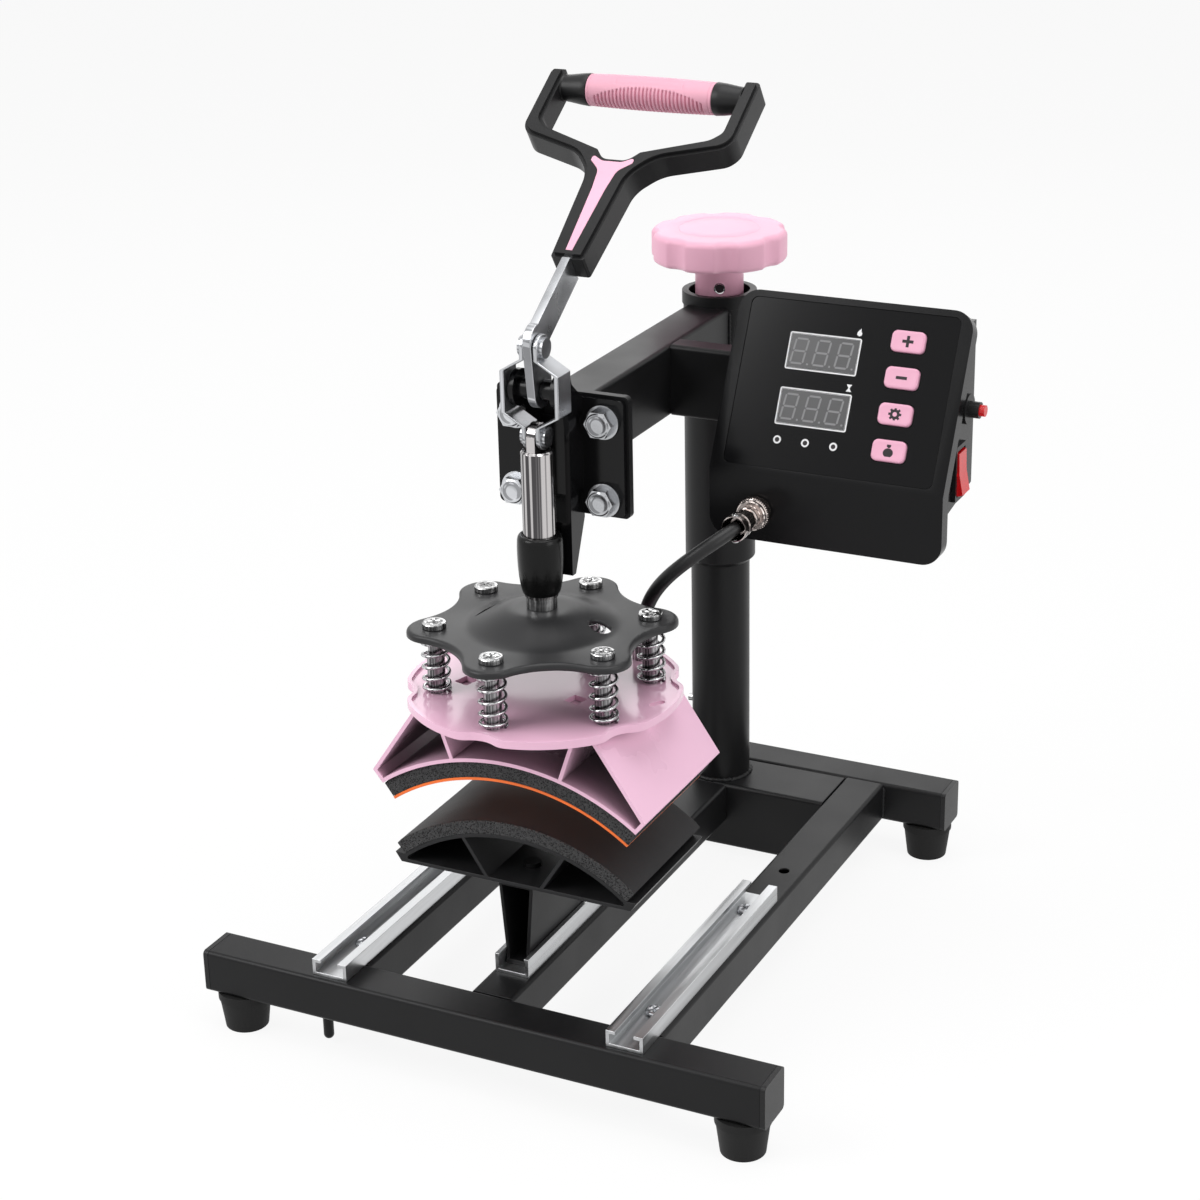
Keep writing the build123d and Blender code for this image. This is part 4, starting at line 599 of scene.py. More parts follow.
gloss_black = finish(
    "gloss_black", (0.004, 0.004, 0.0045), roughness=0.16, spread=0.04, scale=500, height=0.01,
    specular=0.22
)
dress(gloss_black, 0.5, "clamp_bracket", "pivot_pin")
dress(satin_zinc, 0.5, "bracket_bolts")
low, high = corners("bracket_bolts")
crown = [(0.01, 0.25), (3.2, 0.2), (4.6, 0.3), (5.3, 0.62), (6.1, 0.62), (6.9, 0.05)]
crown += [(6.9, -0.3), (0.01, -0.3)]
bolt_x, bolt_rows = 26.6, (311.5, 356.0)
for x in (-bolt_x, bolt_x):
    for z in bolt_rows:
        front = axes((x * MM, low[1], z * MM), (1, 0, 0), (0, 0, 1))
        lathe(f"bolt_crown_{x}_{z}", crown, front, satin_zinc, "arm", 48)


# Guide sleeve: a barrel of black rubber on the foot of the bracket, round the plunger's bush. It is
# turned, and narrows towards its foot.


def middle(node):
    """Centre of a CAD node's box."""
    low, high = corners(node)
    return (low + high) / 2


sleeve_black = finish(
    "sleeve_black", (0.004, 0.004, 0.004), roughness=0.22, spread=0.05, scale=500, height=0.09, specular=0.2
)
low, high = corners("guide_sleeve")
tall = (high[2] - low[2]) / MM
bore, belly = 8.75, 12.8
barrel = [(bore, 0), (9.2, 0), (9.9, 0.3), (10.4, 1.2), (10.9, 3.0), (11.6, 6.5), (12.2, 11), (12.6, 16)]
barrel += [(belly, tall - 12), (belly, tall - 7), (12.6, tall - 3), (12.2, tall - 1.2), (11.5, tall - 0.3)]
barrel += [(10.6, tall), (9.4, tall), (bore, tall - 0.4), (bore, 0)]
bush = Matrix.Translation((0, middle("guide_sleeve")[1], low[2]))
sleeve = lathe("guide_bush", barrel, bush, sleeve_black, "arm", 96, edges=60)
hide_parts("guide_sleeve")


# Control box: a black steel housing and a moulded bezel with a sloping front, on a folded bracket.
# A glossy panel, dark windows, a red rocker and the breaker's button are set into it.

bezel_black = finish(
    "bezel_black", (0.005, 0.005, 0.0055), roughness=0.24, spread=0.02, scale=2600, height=0.012,
    specular=0.16
)
panel_black = finish(
    "panel_black", (0.004, 0.004, 0.0045), roughness=0.13, spread=0.005, tint=0.01, scale=3000, height=0.0,
    specular=0.14
)
display_grey = finish(
    "display_grey", (0.075, 0.075, 0.077), roughness=0.16, spread=0.005, tint=0.02, scale=300, height=0.002
)
circuit_green = finish("circuit_green", (0.02, 0.13, 0.05), roughness=0.4, tint=0.2, scale=900, height=0.02)
red_plastic = finish("red_plastic", (0.68, 0.006, 0.01), roughness=0.22, tint=0.06, scale=900, height=0.01)
dress(powder_black, 0.5, "box_bracket")
dress(bezel_black, 0.6, "control_housing", "control_bezel")
dress(panel_black, 0.1, "label_panel")
dress(display_grey, 0.1, "display_windows")
dress(print_black, 0.1, "indicator_lamps")
dress(circuit_green, 0.1, "circuit_board")
dress(moulded_black, 0.4, "switch_fittings", "mains_gland")
dress(red_plastic, 0.5, "rocker_switch", "breaker_button")


# Keys: four moulded caps with rounded rims and slightly hollow tops, which stand out of the sloping
# panel. Each has one printed sign: plus, minus, a gear and a dial.

face_tilt = math.radians(27)
face = axes((126 * MM, -143.8 * MM, 312 * MM), (1, 0, 0), (0, math.sin(face_tilt), math.cos(face_tilt)))


def on_face(x, rise, lift=0.0):
    """Place on the sloping panel: across it, up it and out of it, in millimetres."""
    return face @ Matrix.Translation((x * MM, rise * MM, lift * MM))


def rounded_box(width, height, corner):
    """Outline of a rectangle whose corners are quarter circles."""
    points = []
    for index, (across, up) in enumerate(((1, 1), (-1, 1), (-1, -1), (1, -1))):
        turn = math.pi / 2 * (index + np.linspace(0, 1, 9))
        x = across * (width / 2 - corner) + corner * np.cos(turn)
        y = up * (height / 2 - corner) + corner * np.sin(turn)
        points += list(zip(x, y))
    return points


def oval(radius_x, radius_y, count, centre=(0, 0)):
    """Outline of an ellipse: cosine and sine of a full turn, times its radii."""
    turn = np.linspace(0, 2 * math.pi, count, endpoint=False)
    return list(zip(centre[0] + radius_x * np.cos(turn), centre[1] + radius_y * np.sin(turn)))


pink_key = finish("pink_key", (0.74, 0.37, 0.5), roughness=0.38, tint=0.03, scale=1800, height=0.01)
key_x, key_width, key_height, key_corner = 34.0, 19.5, 12, 3.2
key_rises = {"plus": 82.7, "minus": 62.4, "set": 42.1, "mode": 21.8}
key_rim = [(0, -9.8), (0, 0.8), (0.12, 1.15), (0.35, 1.4), (0.75, 1.55), (1.4, 1.58)]
key_rim += [(2.6, 1.5), (4.2, 1.45)]
for key, rise in key_rises.items():
    rings = []
    for inset, lift in key_rim:
        corner = max(key_corner - 0.6 * inset, 0.4)
        outline = np.array(rounded_box(key_width - 2 * inset, key_height - 2 * inset, corner))
        rings.append(np.column_stack([outline, np.full(len(outline), lift)]))
    faces = grid_faces(len(rings), len(rings[0]), wrap_columns=True)
    points = np.concatenate(rings) * MM
    place = on_face(key_x, rise)
    cap = add_mesh(f"{key}_key_cap", points, faces, pink_key, f"{key}_button", place)
    clean(cap, 50)
    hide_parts(f"{key}_key")


def sign(name, key, outline, lift=1.42):
    """A printed sign on a key's top."""
    place = on_face(key_x, key_rises[key])
    plate(name, outline, lift, lift + 0.08, place, print_black, f"{key}_button")


bar_reach, bar_half = 3.2, 0.85
bar = [(-bar_reach, -bar_half), (bar_reach, -bar_half), (bar_reach, bar_half), (-bar_reach, bar_half)]
sign("plus_sign_a", "plus", bar)
sign("plus_sign_b", "plus", [(y, x) for x, y in reversed(bar)], 1.43)
sign("minus_sign", "minus", bar)
teeth = []
for index in range(8):
    for radius, offset in ((2.8, -0.24), (3.8, -0.17), (3.8, 0.17), (2.8, 0.24)):
        turn = 2 * math.pi * index / 8 + offset
        teeth.append((radius * math.cos(turn), radius * math.sin(turn)))
sign("gear_sign", "set", teeth)
place = on_face(key_x, key_rises["set"])
plate("gear_eye", oval(1.25, 1.25, 20), 1.5, 1.56, place, pink_key, "set_button")
sign("dial_sign_body", "mode", oval(2.9, 2.6, 28, (0, -1.2)))
sign("dial_sign_dot", "mode", oval(1.25, 1.25, 20, (0, 2.8)))


# Displays and lamps: two windows with printed borders, in which all segments of three figures show
# faintly, as when switched off. Three lamps with printed rings lie below, and each window has an icon.

print_white = finish("print_white", (0.75, 0.75, 0.76), roughness=0.5, tint=0.03, scale=900, height=0.004)
segment_grey = finish(
    "segment_grey", (0.17, 0.17, 0.175), roughness=0.3, tint=0.04, scale=300, height=0.002
)
print_depth, print_lift = 0.08, -0.42


def window_border(name, x, rise, width=42.4, height=21.2, corner=1.2, thick=0.75):
    """Thin printed border round a window: the ring between two rounded boxes."""
    outer = rounded_box(width, height, corner)
    inner = rounded_box(width - 2 * thick, height - 2 * thick, corner - thick)
    count = len(outer)
    levels = (print_lift, print_lift + print_depth)
    points = [(px * MM, py * MM, z * MM) for z in levels for loop in (outer, inner) for px, py in loop]
    i = np.arange(count)
    j = (i + 1) % count
    top_faces = np.stack([2 * count + i, 2 * count + j, 3 * count + j, 3 * count + i], 1)
    outer_faces = np.stack([i, j, 2 * count + j, 2 * count + i], 1)
    inner_faces = np.stack([count + j, count + i, 3 * count + i, 3 * count + j], 1)
    faces = np.concatenate([top_faces, outer_faces, inner_faces])
    clean(add_mesh(name, points, faces, print_white, "arm", on_face(x, rise)))


def digit(name, x, rise, height=14.0, width=7.4, thick=1.1, slope=0.12, lift=-0.18):
    """A slanted seven-segment figure: pointed bars across at three heights, four upright, and a point."""
    top = lift + 0.03
    spots = [(0, 1, 0), (0, 0, 0), (0, -1, 0), (-1, 0.5, 1), (1, 0.5, 1), (-1, -0.5, 1), (1, -0.5, 1)]
    for index, (side, level, upright) in enumerate(spots):
        end, half = ((height / 2 if upright else width) - 0.5) / 2, thick / 2
        outline = [(-end, 0), (-end + half, half), (end - half, half)]
        outline += [(end, 0), (end - half, -half), (-end + half, -half)]
        if upright:
            outline = [(b, a) for a, b in reversed(outline)]
        outline = [(px + side * width / 2, py + level * height / 2) for px, py in outline]
        outline = [(px + slope * py, py) for px, py in outline]
        plate(f"{name}_{index}", outline, lift, top, on_face(x, rise), segment_grey, "arm")
    point = oval(0.6, 0.6, 16, (width * 0.78, -height / 2))
    plate(f"{name}_point", point, lift, top, on_face(x, rise), segment_grey, "arm")


window_x, digit_step, digit_shift = -14.1, 13.2, 0.8
for window, rise in (("upper", 71.0), ("lower", 39.5)):
    window_border(f"window_border_{window}", window_x, rise)
    for index in range(3):
        digit(f"digit_{window}_{index}", window_x + digit_step * (index - 1) - digit_shift, rise)
lamp_x, lamp_step, lamp_rise = -15.1, 16.7, 20.2
lamp_ring = [(1.35, 0), (1.35, 0.12), (2.3, 0.12), (2.3, 0)]
for index in range(3):
    place = on_face(lamp_x + lamp_step * (index - 1), lamp_rise, -0.22)
    lathe(f"lamp_ring_{index}", lamp_ring, place, print_white, "arm", 32)
flame = [(0, -2.2), (1.3, -1.6), (1.5, -0.3), (0.8, 0.6), (0.7, 2.3), (-0.4, 1.2), (-1.3, 0.1)]
flame.append((-1.4, -1.4))
glass = [(-1.6, -2), (1.6, -2), (0.3, 0), (1.6, 2), (-1.6, 2), (-0.3, 0)]
for name, outline, x, rise in (("flame_sign", flame, 5.0, 85.0), ("timer_sign", glass, 4.5, 53.6)):
    place, top = on_face(x, rise), print_lift + print_depth
    plate(name, outline, print_lift, top, place, print_white, "arm")


# Heater plug: a knurled ring nut, a barrel and a crimped clamp with two screws, turned in plated brass
# and screwed on the socket at the front of the box.

plug_metal = metal(
    "plug_metal", (0.62, 0.55, 0.52), 0.85, roughness=0.18, spread=0.06, tint=0.15, scale=400, height=0.01
)
dress(plug_metal, 0.4, "connector_socket")
low, high = corners("cable_plug")
plug_centre = middle("cable_plug")
plug = axes((plug_centre[0], high[1], plug_centre[2]), (1, 0, 0), (0, 0, 1))


def knurl(r, h, turn):
    """Fine straight knurling on the widest band: the sign of a cosine, 44 times round."""
    return r + (0.28 * np.sign(np.cos(turn * 44)) if r > 9.0 else 0 * turn)


nut = [(8.3, 0.0), (8.6, 0.0), (8.9, 0.6), (9.1, 0.9), (9.1, 5.2), (8.8, 5.6), (8.2, 5.9), (8.2, 6.6)]
nut += [(8.7, 7.0), (8.7, 8.4), (8.1, 9.0), (6.2, 9.0)]
barrel = [(6.2, 9.0), (6.0, 9.4), (6.0, 13.0), (6.6, 13.3), (6.6, 14.2), (6.0, 14.5), (6.0, 22.6)]
clamp = [(6.4, 23.0), (7.4, 23.2), (7.4, 25.4), (6.3, 25.9), (6.3, 27.4), (7.5, 27.8), (7.5, 31.2)]
clamp += [(7.3, 31.9), (6.9, 32.0), (4.9, 25.8)]
shell = lathe("plug_shell", nut + barrel + clamp, plug, plug_metal, "arm", 264, knurl, 25)
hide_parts("cable_plug")
clamp_screw = [(2.0, 0.4), (2.0, 1.8), (1.6, 2.3), (0.4, 2.4), (0.01, 2.2)]
screw_offset, screw_depth = 6.0, 29.4
for side in (-1, 1):
    spot = plug @ Matrix.Translation((0, side * screw_offset * MM, screw_depth * MM))
    place = spot @ Matrix.Rotation(-side * math.pi / 2, 4, "X")
    lathe(f"plug_screw_{side}", clamp_screw, place, zinc, "arm", 24)


# Heater cable: a limp, rubber-sheathed lead from the plug down into a zinc-plated gland at the back of
# the disc. It is one tube along a smooth curve, whose points are listed.

cable_skin = finish(
    "cable_skin", (0.009, 0.009, 0.0095), roughness=0.4, spread=0.06, scale=900, height=0.03, specular=0.35
)
dress(zinc, 0.3, "cable_gland")
mouth = Vector((plug_centre[0], low[1], plug_centre[2])) / MM
gland = Vector(middle("cable_gland")) / MM
gland.z = corners("cable_gland")[1][2] / MM
leave = [(0, 4.3, -0.2), (-6.0, -6.7, -4.5), (-15.1, -14.0, -11.3)]
leave += [(-25.4, -16.1, -20.0), (-35.0, -14.9, -29.4)]
enter = [(10.05, -5.5, 29.5), (3.55, -2.2, 18.0), (0, 0, 5.0), (0, 0, -6.0)]
route = [mouth + Vector(step) for step in leave] + [gland + Vector(step) for step in enter]
cable_radius = 4.0


def cable_mesh(radius):
    """Mesh of a NURBS curve of the third order along the route: a tube, or a bare line for no radius."""
    curve = bpy.data.curves.new("cable_route", "CURVE")
    curve.dimensions = "3D"
    curve.resolution_u = 14
    curve.bevel_depth = radius * MM
    curve.bevel_resolution = 6
    spline = curve.splines.new("NURBS")
    spline.points.add(len(route) - 1)
    for point, at in zip(spline.points, route):
        point.co = (*[value * MM for value in at], 1)
    spline.order_u = 3
    spline.use_endpoint_u = True
    line = bpy.data.objects.new("cable_route", curve)
    bpy.context.scene.collection.objects.link(line)
    bpy.context.view_layer.update()
    mesh = bpy.data.meshes.new_from_object(line.evaluated_get(bpy.context.evaluated_depsgraph_get()))
    bpy.data.objects.remove(line)
    return mesh


line_points = [tuple(vertex.co) for vertex in cable_mesh(0).vertices]
lead = cable_mesh(cable_radius)
lead.materials.clear()
lead.materials.append(cable_skin)
lead.shade_smooth()
cable = bpy.data.objects.new("heater_lead", lead)
bpy.context.scene.collection.objects.link(cable)
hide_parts("heater_cable")
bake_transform(cable)


# Lever and fork handle: a zinc-plated steel bar in a moulded black fork with a pink inlay. Between its
# ends sits a grip of soft pink rubber, ribbed where the fingers lie, between two black cones.

pink_grip = finish(
    "pink_grip", (0.76, 0.37, 0.47), roughness=0.55, spread=0.05, tint=0.04, scale=2600, height=0.03
)
dress(satin_zinc, 0.5, "lever_bar")
dress(moulded_black, 0.8, "handle_frame")
dress(pink_plastic, 0.3, "handle_inlay")
handle_turn = math.radians(34.3)
fork_across = (0, math.cos(handle_turn), math.sin(handle_turn))
fork_along = (0, -math.sin(handle_turn), math.cos(handle_turn))
grip_axis = axes(middle("grip_sleeve"), fork_across, fork_along)
low, high = corners("grip_sleeve")
half = (high[0] - low[0]) / 2 / MM
grip_radius, crown_rise, rib_pitch, rib_depth = 9.0, 0.62, 2.35, 1.15
ribbed_half, panel_half, panel_inner_half = 34.3, 21.5, 20.3
x, angle = np.meshgrid(np.linspace(-half, half, 385), np.linspace(0, 360, 97)[:-1], indexing="ij")
from_middle = np.abs(x)
face_angle = (angle + 180) % 360 - 180

# The radius is a shallow crown, less the rounded ends, a groove at each end, ribs whose field starts
# on a curve, and the sunk rim of a blank panel.
bulge = grip_radius + crown_rise * (1 - (x / half) ** 2)
bulge -= 0.9 * np.clip((from_middle - (half - 0.7)) / 0.7, 0, 1) ** 2
bulge -= 0.3 * ease((from_middle - (half - 2.6)) / 0.3) * ease((half - 1.5 - from_middle) / 0.3)
start = 24 + 42 * np.clip(from_middle / 34, 0, 1) ** 2.4
field = ease((face_angle - start) / 4) * ease((178 - (start - 24) - face_angle) / 5)
field *= ease((ribbed_half - from_middle) / 0.6)
rib = ease((0.62 - np.cos(2 * math.pi * x / rib_pitch)) / 0.9)
bulge -= field * rib_depth * (1 - rib)
panel = ease((face_angle + 11) / 3) * ease((19 - face_angle) / 3)
panel *= ease((panel_half - from_middle) / 0.8)
inner = ease((face_angle + 8) / 3) * ease((16 - face_angle) / 3)
inner *= ease((panel_inner_half - from_middle) / 0.8)
bulge -= 0.25 * (panel - inner)
turn = np.radians(angle)
skin = np.stack([-bulge * np.sin(turn), bulge * np.cos(turn), x], 2).reshape(-1, 3) * MM
faces = grid_faces(*x.shape, wrap_columns=True)
grip = add_mesh("grip_rubber", skin, faces, pink_grip, "lever", grip_axis)
clean(grip, 60)
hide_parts("grip_sleeve")
cone = [(9.1, 38.9), (9.3, 39.4), (8.9, 44), (7.9, 51), (7.5, 54.6), (7.9, 55.3), (7.9, 55.8)]
for side in (-1, 1):
    profile = [(radius, side * h) for radius, h in cone]
    lathe(f"grip_cone_{side}", profile, grip_axis, moulded_black, "lever", 64)


# Toggle: two joggled links of zinc-plated steel on rivets with rounded heads. They drive a ground steel
# rod through the guide sleeve, with a lock nut at its foot.

turned_rod = metal(
    "turned_rod", (0.55, 0.53, 0.53), 0.92, roughness=0.16, spread=0.04, tint=0.06, scale=300,
    stretch=(3, 3, 0.1), height=0.001
)
dress(satin_zinc, 0.5, "toggle_links")
dress(satin_zinc, 1.3, "link_rivets")
dress(turned_rod, 0.8, "plunger_rod")
dress(zinc, 0.3, "plunger_nut")


# Star plate: pressed from thick steel sheet and painted a satin black, with six lobes, a soft dome and
# a rolled edge. A round hole and a slit are punched through it.

plate_black = finish(
    "plate_black", (0.02, 0.02, 0.021), roughness=0.36, spread=0.05, scale=2200, height=0.02, specular=0.28
)
low, high = corners("star_plate")
star = Matrix.Translation((0, middle("star_plate")[1], 0))
lobe, reach, waist = 15.5, 59.5, 58.5
dome_rise, dome_foot, dome_slope, sheet, skirt = 9.4, 45, 31, 2.2, 3.8
star_top = high[2] / MM - dome_rise
along, beside = reach * math.cos(math.pi / 6), reach * math.sin(math.pi / 6)
hollow = ((waist - along) ** 2 + beside**2 - lobe**2) / (2 * (lobe + along - waist))
centre = waist + hollow

# The outline follows each lobe's circle up to the angle at which it meets the hollow's circle.
turn = np.linspace(0, 2 * math.pi, 361)[:-1]
swing = np.abs(np.mod(turn, math.pi / 3) - math.pi / 6)
lobe_edge = reach * np.cos(swing) + np.sqrt(np.clip(lobe**2 - (reach * np.sin(swing)) ** 2, 0, None))
other = math.pi / 6 - swing
waist_edge = centre * np.cos(other) - np.sqrt(np.clip(hollow**2 - (centre * np.sin(other)) ** 2, 0, None))
tangent = math.atan2(
    lobe / (lobe + hollow) * centre * math.sin(math.pi / 6),
    reach + lobe / (lobe + hollow) * (centre * math.cos(math.pi / 6) - reach),
)
edge = np.where(swing < tangent, lobe_edge, waist_edge)


def dome(r):
    """Height of the dome's top side over the flat, a smooth step of the radius."""
    return dome_rise * ease((dome_foot - r) / dome_slope)


rings = []
for share in np.concatenate([np.linspace(7.2 / 60, 0.93, 40), [0.95, 0.97]]):
    blend = ease((share - 0.12) / 0.62)
    r = (edge * blend + 60 * (1 - blend)) * share
    rings.append((r, star_top + dome(r)))
for t in np.linspace(0.2, 1, 6) * math.pi / 2:
    rings.append((edge - sheet + sheet * math.sin(t), star_top - sheet + sheet * math.cos(t) + 0 * edge))
rings.append((edge, star_top - skirt + 0 * edge))
for r, h in rings[-2::-1]:
    rings.append((np.minimum(r, edge - 1.6), np.minimum(h - sheet, star_top - sheet + dome(r))))
points = np.concatenate([np.stack([r * np.cos(turn), r * np.sin(turn), h], 1) for r, h in rings]) * MM
faces = grid_faces(len(rings), len(turn), wrap_rows=True, wrap_columns=True)
pressing = add_mesh("star_pressing", points, faces, plate_black, "plunger", star)
clean(pressing, 70)
punched = [("cut_round", oval(6.3, 6.3, 48), (34.4, 1.5), 0)]
bend = np.linspace(0, 2 * math.pi, 33)[:-1]
slit = list(zip(8 * np.cos(bend), 1.3 * np.sin(bend) * np.abs(np.sin(bend))))
punched.append(("cut_slit", slit, (-34.5, -1.7), math.radians(72)))
cutters = []
for name, outline, (x, y), turned in punched:
    place = star @ Matrix.Translation((x * MM, y * MM, 0)) @ Matrix.Rotation(turned, 4, "Z")
    cutters.append(plate(name, outline, 230, 262, place, plate_black, "plunger"))
carve(pressing, *cutters)
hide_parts("star_plate")


# Shoulder screws: six zinc-plated cheese heads with a cross recess, whose bright shanks carry spacers
# and hold the heated platen under the star plate.

low, high = corners("platen_screws")
lobe_turns = [math.radians(30 + 60 * index) for index in range(6)]
for index, lobe_turn in enumerate(lobe_turns):
    spot = Matrix.Translation((reach * MM * math.cos(lobe_turn), reach * MM * math.sin(lobe_turn), 0))
    place = star @ spot @ Matrix.Rotation(index * 1.1, 4, "Z")
    top, bottom, spacer = high[2] / MM, low[2] / MM, (5.0, 230.0, 207.2)
    name = f"shoulder_screw_{index}"
    screw = cross_screw(name, place, top, 6.7, 3.4, 4.0, bottom, "heat_platen", zinc, spacer)
    if index == 0:
        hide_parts("platen_screws")


# Springs: six coils of bright spring wire round the spacers, each one tube along a helix with a closed
# turn at each end.

low, high = corners("platen_springs")
wire, coil, turns, steps, float_travel = 1.0, 7.2, 6, 30, 5
foot = low[2] / MM + wire
rise = (high[2] - low[2]) / MM - 2 * wire
closed = 2.7 / rise
wound = np.linspace(0, turns, turns * steps + 1)
climb = np.interp(wound, [0, 1, turns - 1, turns], [0, closed, 1 - closed, 1])
turn = 2 * math.pi * wound
line = np.stack([coil * np.cos(turn), coil * np.sin(turn), foot + rise * climb], 1)
ahead = np.gradient(line, axis=0)
ahead /= np.linalg.norm(ahead, axis=1)[:, None]
outward = np.stack([np.cos(turn), np.sin(turn), 0 * turn], 1)
side = np.cross(ahead, outward)
round_wire = np.linspace(0, 2 * math.pi, 10, endpoint=False)[:, None]
tube = line[:, None] + wire * (np.cos(round_wire) * outward[:, None] + np.sin(round_wire) * side[:, None])
tube_faces = grid_faces(len(line), len(round_wire), wrap_columns=True)
points, faces = [], []
for index, lobe_turn in enumerate(lobe_turns):
    across, back = reach * math.cos(lobe_turn), reach * math.sin(lobe_turn) + middle("star_plate")[1] / MM
    points.append((tube.reshape(-1, 3) + np.array((across, back, 0))) * MM)
    faces.append(tube_faces + index * len(points[0]))
points, faces = np.concatenate(points), np.concatenate(faces)
springs = add_mesh("coil_springs", points, faces, chrome, "heat_platen")
clean(springs, 70)
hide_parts("platen_springs")
tall = high[2] - low[2]
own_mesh(springs)


# Heated platen: a scalloped steel disc in glossy pink paint on an arched aluminium extrusion with webs,
# painted the same. The deep cells of the extrusion are shaded, since little light comes out of them.


def shade_hollows(material, color, reach):
    """Gives the deep inner faces of a piece a darker colour, by how much of the sky they see."""
    tree = material.node_tree
    add, link = tree.nodes.new, tree.links.new
    base = tree.nodes["Principled BSDF"].inputs["Base Color"]
    hollow, level, mix = add("ShaderNodeAmbientOcclusion"), add("ShaderNodeMapRange"), add("ShaderNodeMix")
    hollow.inputs["Distance"].default_value = reach
    level.inputs["From Min"].default_value = 0.1
    level.inputs["From Max"].default_value = 0.6
    mix.data_type = "RGBA"
    mix.inputs["A"].default_value = (*color, 1)
    link(hollow.outputs["AO"], level.inputs["Value"])
    link(level.outputs["Result"], mix.inputs["Factor"])
    link(base.links[0].from_socket, mix.inputs["B"])
    link(mix.outputs["Result"], base)


pink_paint = finish(
    "pink_paint", (0.84, 0.5, 0.66), roughness=0.17, spread=0.03, tint=0.03, scale=260, height=0.02,
    coat=0.2
)
pink_housing = finish(
    "pink_housing", (0.86, 0.53, 0.69), roughness=0.3, spread=0.05, tint=0.02, scale=260, height=0.02
)
shade_hollows(pink_housing, (0.14, 0.11, 0.125), 0.045)
dress(pink_paint, 1.0, "heat_disc")
dress(pink_housing, 0.4, "heater_housing")


# Upper pad and heater sheet: silicone foam under the arch, cut as the lower pad is, and below it the
# heater, a thin mat of orange silicone rubber with a fabric grain.

orange_sheet = finish("orange_sheet", (0.87, 0.16, 0.02), roughness=0.5, tint=0.15, scale=900, height=0.08)
dress(orange_sheet, 0.3, "heater_sheet")
foam_band("upper_pad", "upper_foam", "heat_platen", 46.0, 132.8, 123.5, math.radians(36.4))


# Studio: a matt white floor that takes the shadow, and a white world round it. Both look white to the
# camera and in mirrors, and the world lights the object with less than it shows.

floor_size = 6.0
floor = bpy.data.meshes.new("floor")
floor_corners = [(x * floor_size, y * floor_size, 0) for x, y in ((-1, -1), (1, -1), (1, 1), (-1, 1))]
floor.from_pydata(floor_corners, [], [(0, 1, 2, 3)])
floor_object = bpy.data.objects.new("floor", floor)
bpy.context.scene.collection.objects.link(floor_object)
ground = bpy.data.materials.new("studio_floor")
ground.use_nodes = True
floor.materials.append(ground)
tree = ground.node_tree
add, link = tree.nodes.new, tree.links.new
tree.nodes.remove(tree.nodes["Principled BSDF"])
output = tree.nodes["Material Output"]
matt, glow, mix = add("ShaderNodeBsdfDiffuse"), add("ShaderNodeEmission"), add("ShaderNodeMixShader")
path, seen, share = add("ShaderNodeLightPath"), add("ShaderNodeMath"), add("ShaderNodeMath")
matt.inputs["Color"].default_value = (0.9, 0.9, 0.9, 1)
glow.inputs["Strength"].default_value = 1.0
seen.operation = "MAXIMUM"
share.operation = "MULTIPLY"
share.inputs[1].default_value = 0.9
link(path.outputs["Is Camera Ray"], seen.inputs[0])
link(path.outputs["Is Glossy Ray"], seen.inputs[1])
link(seen.outputs["Value"], share.inputs[0])
link(share.outputs["Value"], mix.inputs["Fac"])
link(matt.outputs["BSDF"], mix.inputs[1])
link(glow.outputs["Emission"], mix.inputs[2])
link(mix.outputs["Shader"], output.inputs["Surface"])

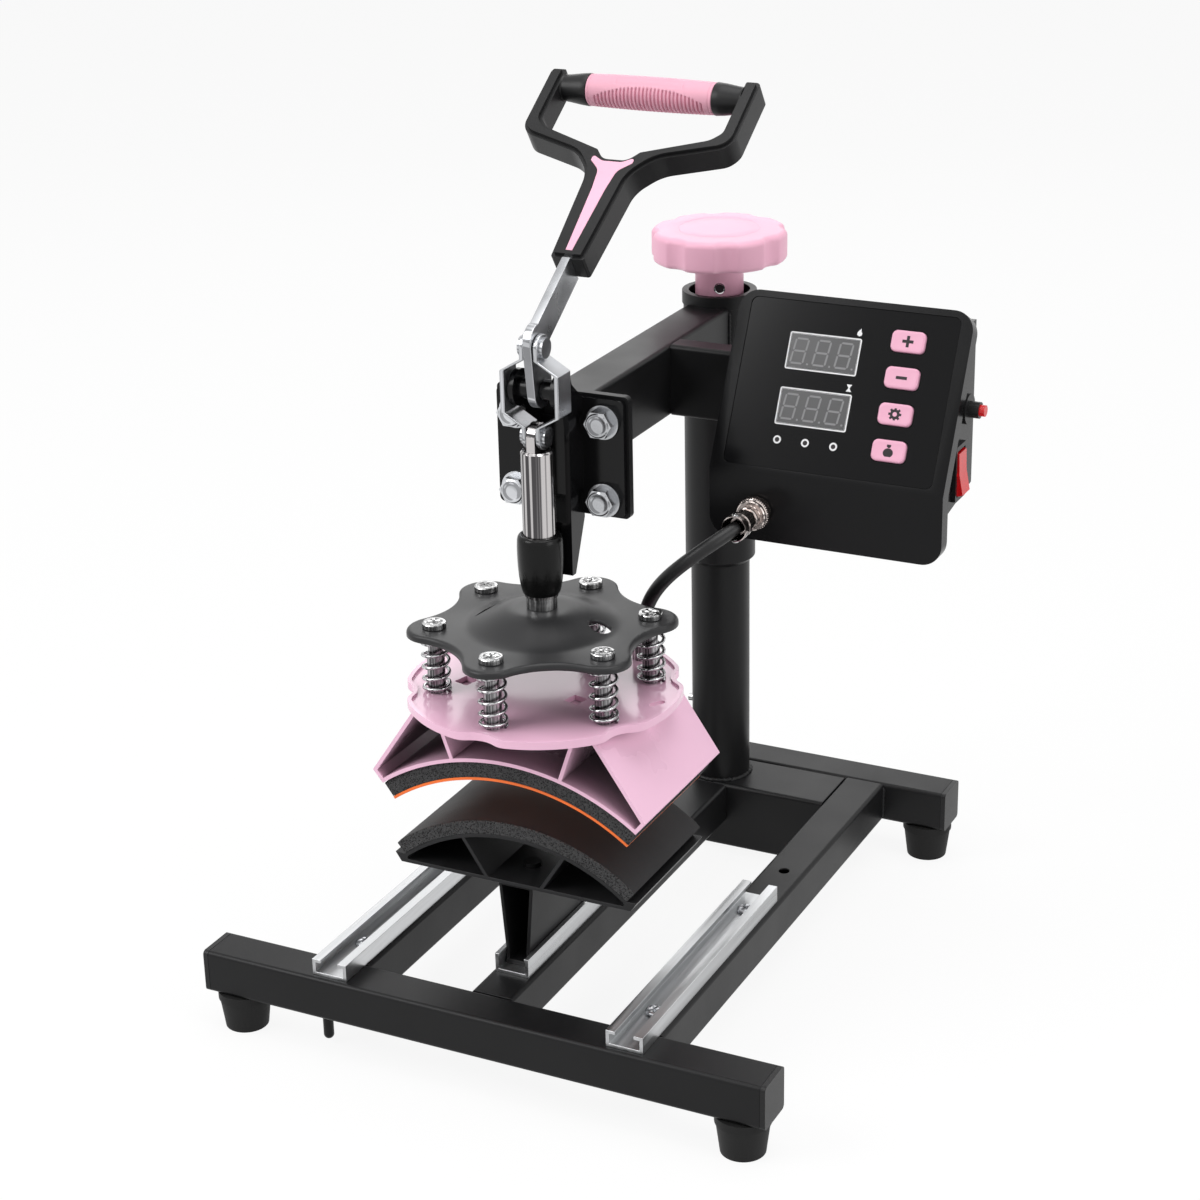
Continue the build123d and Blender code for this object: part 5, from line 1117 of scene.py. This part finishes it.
world = bpy.data.worlds.new("studio")
bpy.context.scene.world = world
world.use_nodes = True
tree = world.node_tree
add, link = tree.nodes.new, tree.links.new
back = tree.nodes["Background"]
back.inputs["Color"].default_value = (1, 1, 1, 1)
path, level = add("ShaderNodeLightPath"), add("ShaderNodeMapRange")
seen, more = add("ShaderNodeMath"), add("ShaderNodeMath")
seen.operation = more.operation = "MAXIMUM"
level.inputs["To Min"].default_value = 0.42
level.inputs["To Max"].default_value = 1.0
link(path.outputs["Is Camera Ray"], seen.inputs[0])
link(path.outputs["Is Glossy Ray"], seen.inputs[1])
link(seen.outputs["Value"], more.inputs[0])
link(path.outputs["Is Transmission Ray"], more.inputs[1])
link(more.outputs["Value"], level.inputs["Value"])
link(level.outputs["Result"], back.inputs["Strength"])


# Lamps: soft boxes in front, above and at the right, and a weak one behind that lifts the tops of the
# black tubes from their sides. Their power is in watts.


def lamp(name, place, target, power, width, height):
    """Soft box that faces a point."""
    light = bpy.data.lights.new(name, "AREA")
    light.shape = "RECTANGLE"
    light.size = width
    light.size_y = height
    light.energy = power
    obj = bpy.data.objects.new(name, light)
    obj.location = place
    obj.rotation_euler = (Vector(target) - Vector(place)).to_track_quat("-Z", "Y").to_euler()
    bpy.context.scene.collection.objects.link(obj)


lamp("key_light", (-1.3, -1.5, 1.7), (0, -0.1, 0.25), 26, 1.2, 1.2)
lamp("top_light", (0.2, -0.1, 2.2), (0, -0.1, 0.2), 24, 1.6, 1.6)
lamp("side_light", (1.8, -0.6, 0.9), (0, -0.1, 0.25), 9, 0.8, 1.4)
lamp("rim_light", (-0.75, 1.6, 1.05), (0, -0.1, 0.3), 3, 1.2, 0.5)


# Camera: where the photograph was taken from, solved from the straight edges of the frame, the post
# and the rails. The view has plain colours, without a film look.

yaw, pitch, roll = math.radians(26.75), math.radians(22.01), math.radians(-1.29)
camera_place = (0.6207, -1.4024, 0.7894)
ahead = Vector((-math.sin(yaw) * math.cos(pitch), math.cos(yaw) * math.cos(pitch), -math.sin(pitch)))
level_right = Vector((math.cos(yaw), math.sin(yaw), 0))
level_up = level_right.cross(ahead)
right = level_right * math.cos(roll) + level_up * math.sin(roll)
up = level_up * math.cos(roll) - level_right * math.sin(roll)
lens = bpy.data.cameras.new("camera")
lens.sensor_width = 36
lens.lens = 77.7
camera = bpy.data.objects.new("camera", lens)
camera_axes = [[right[i], up[i], -ahead[i], camera_place[i]] for i in range(3)]
camera.matrix_world = Matrix(camera_axes + [[0, 0, 0, 1]])
bpy.context.scene.collection.objects.link(camera)
bpy.context.scene.camera = camera
bpy.context.scene.view_settings.view_transform = "Standard"
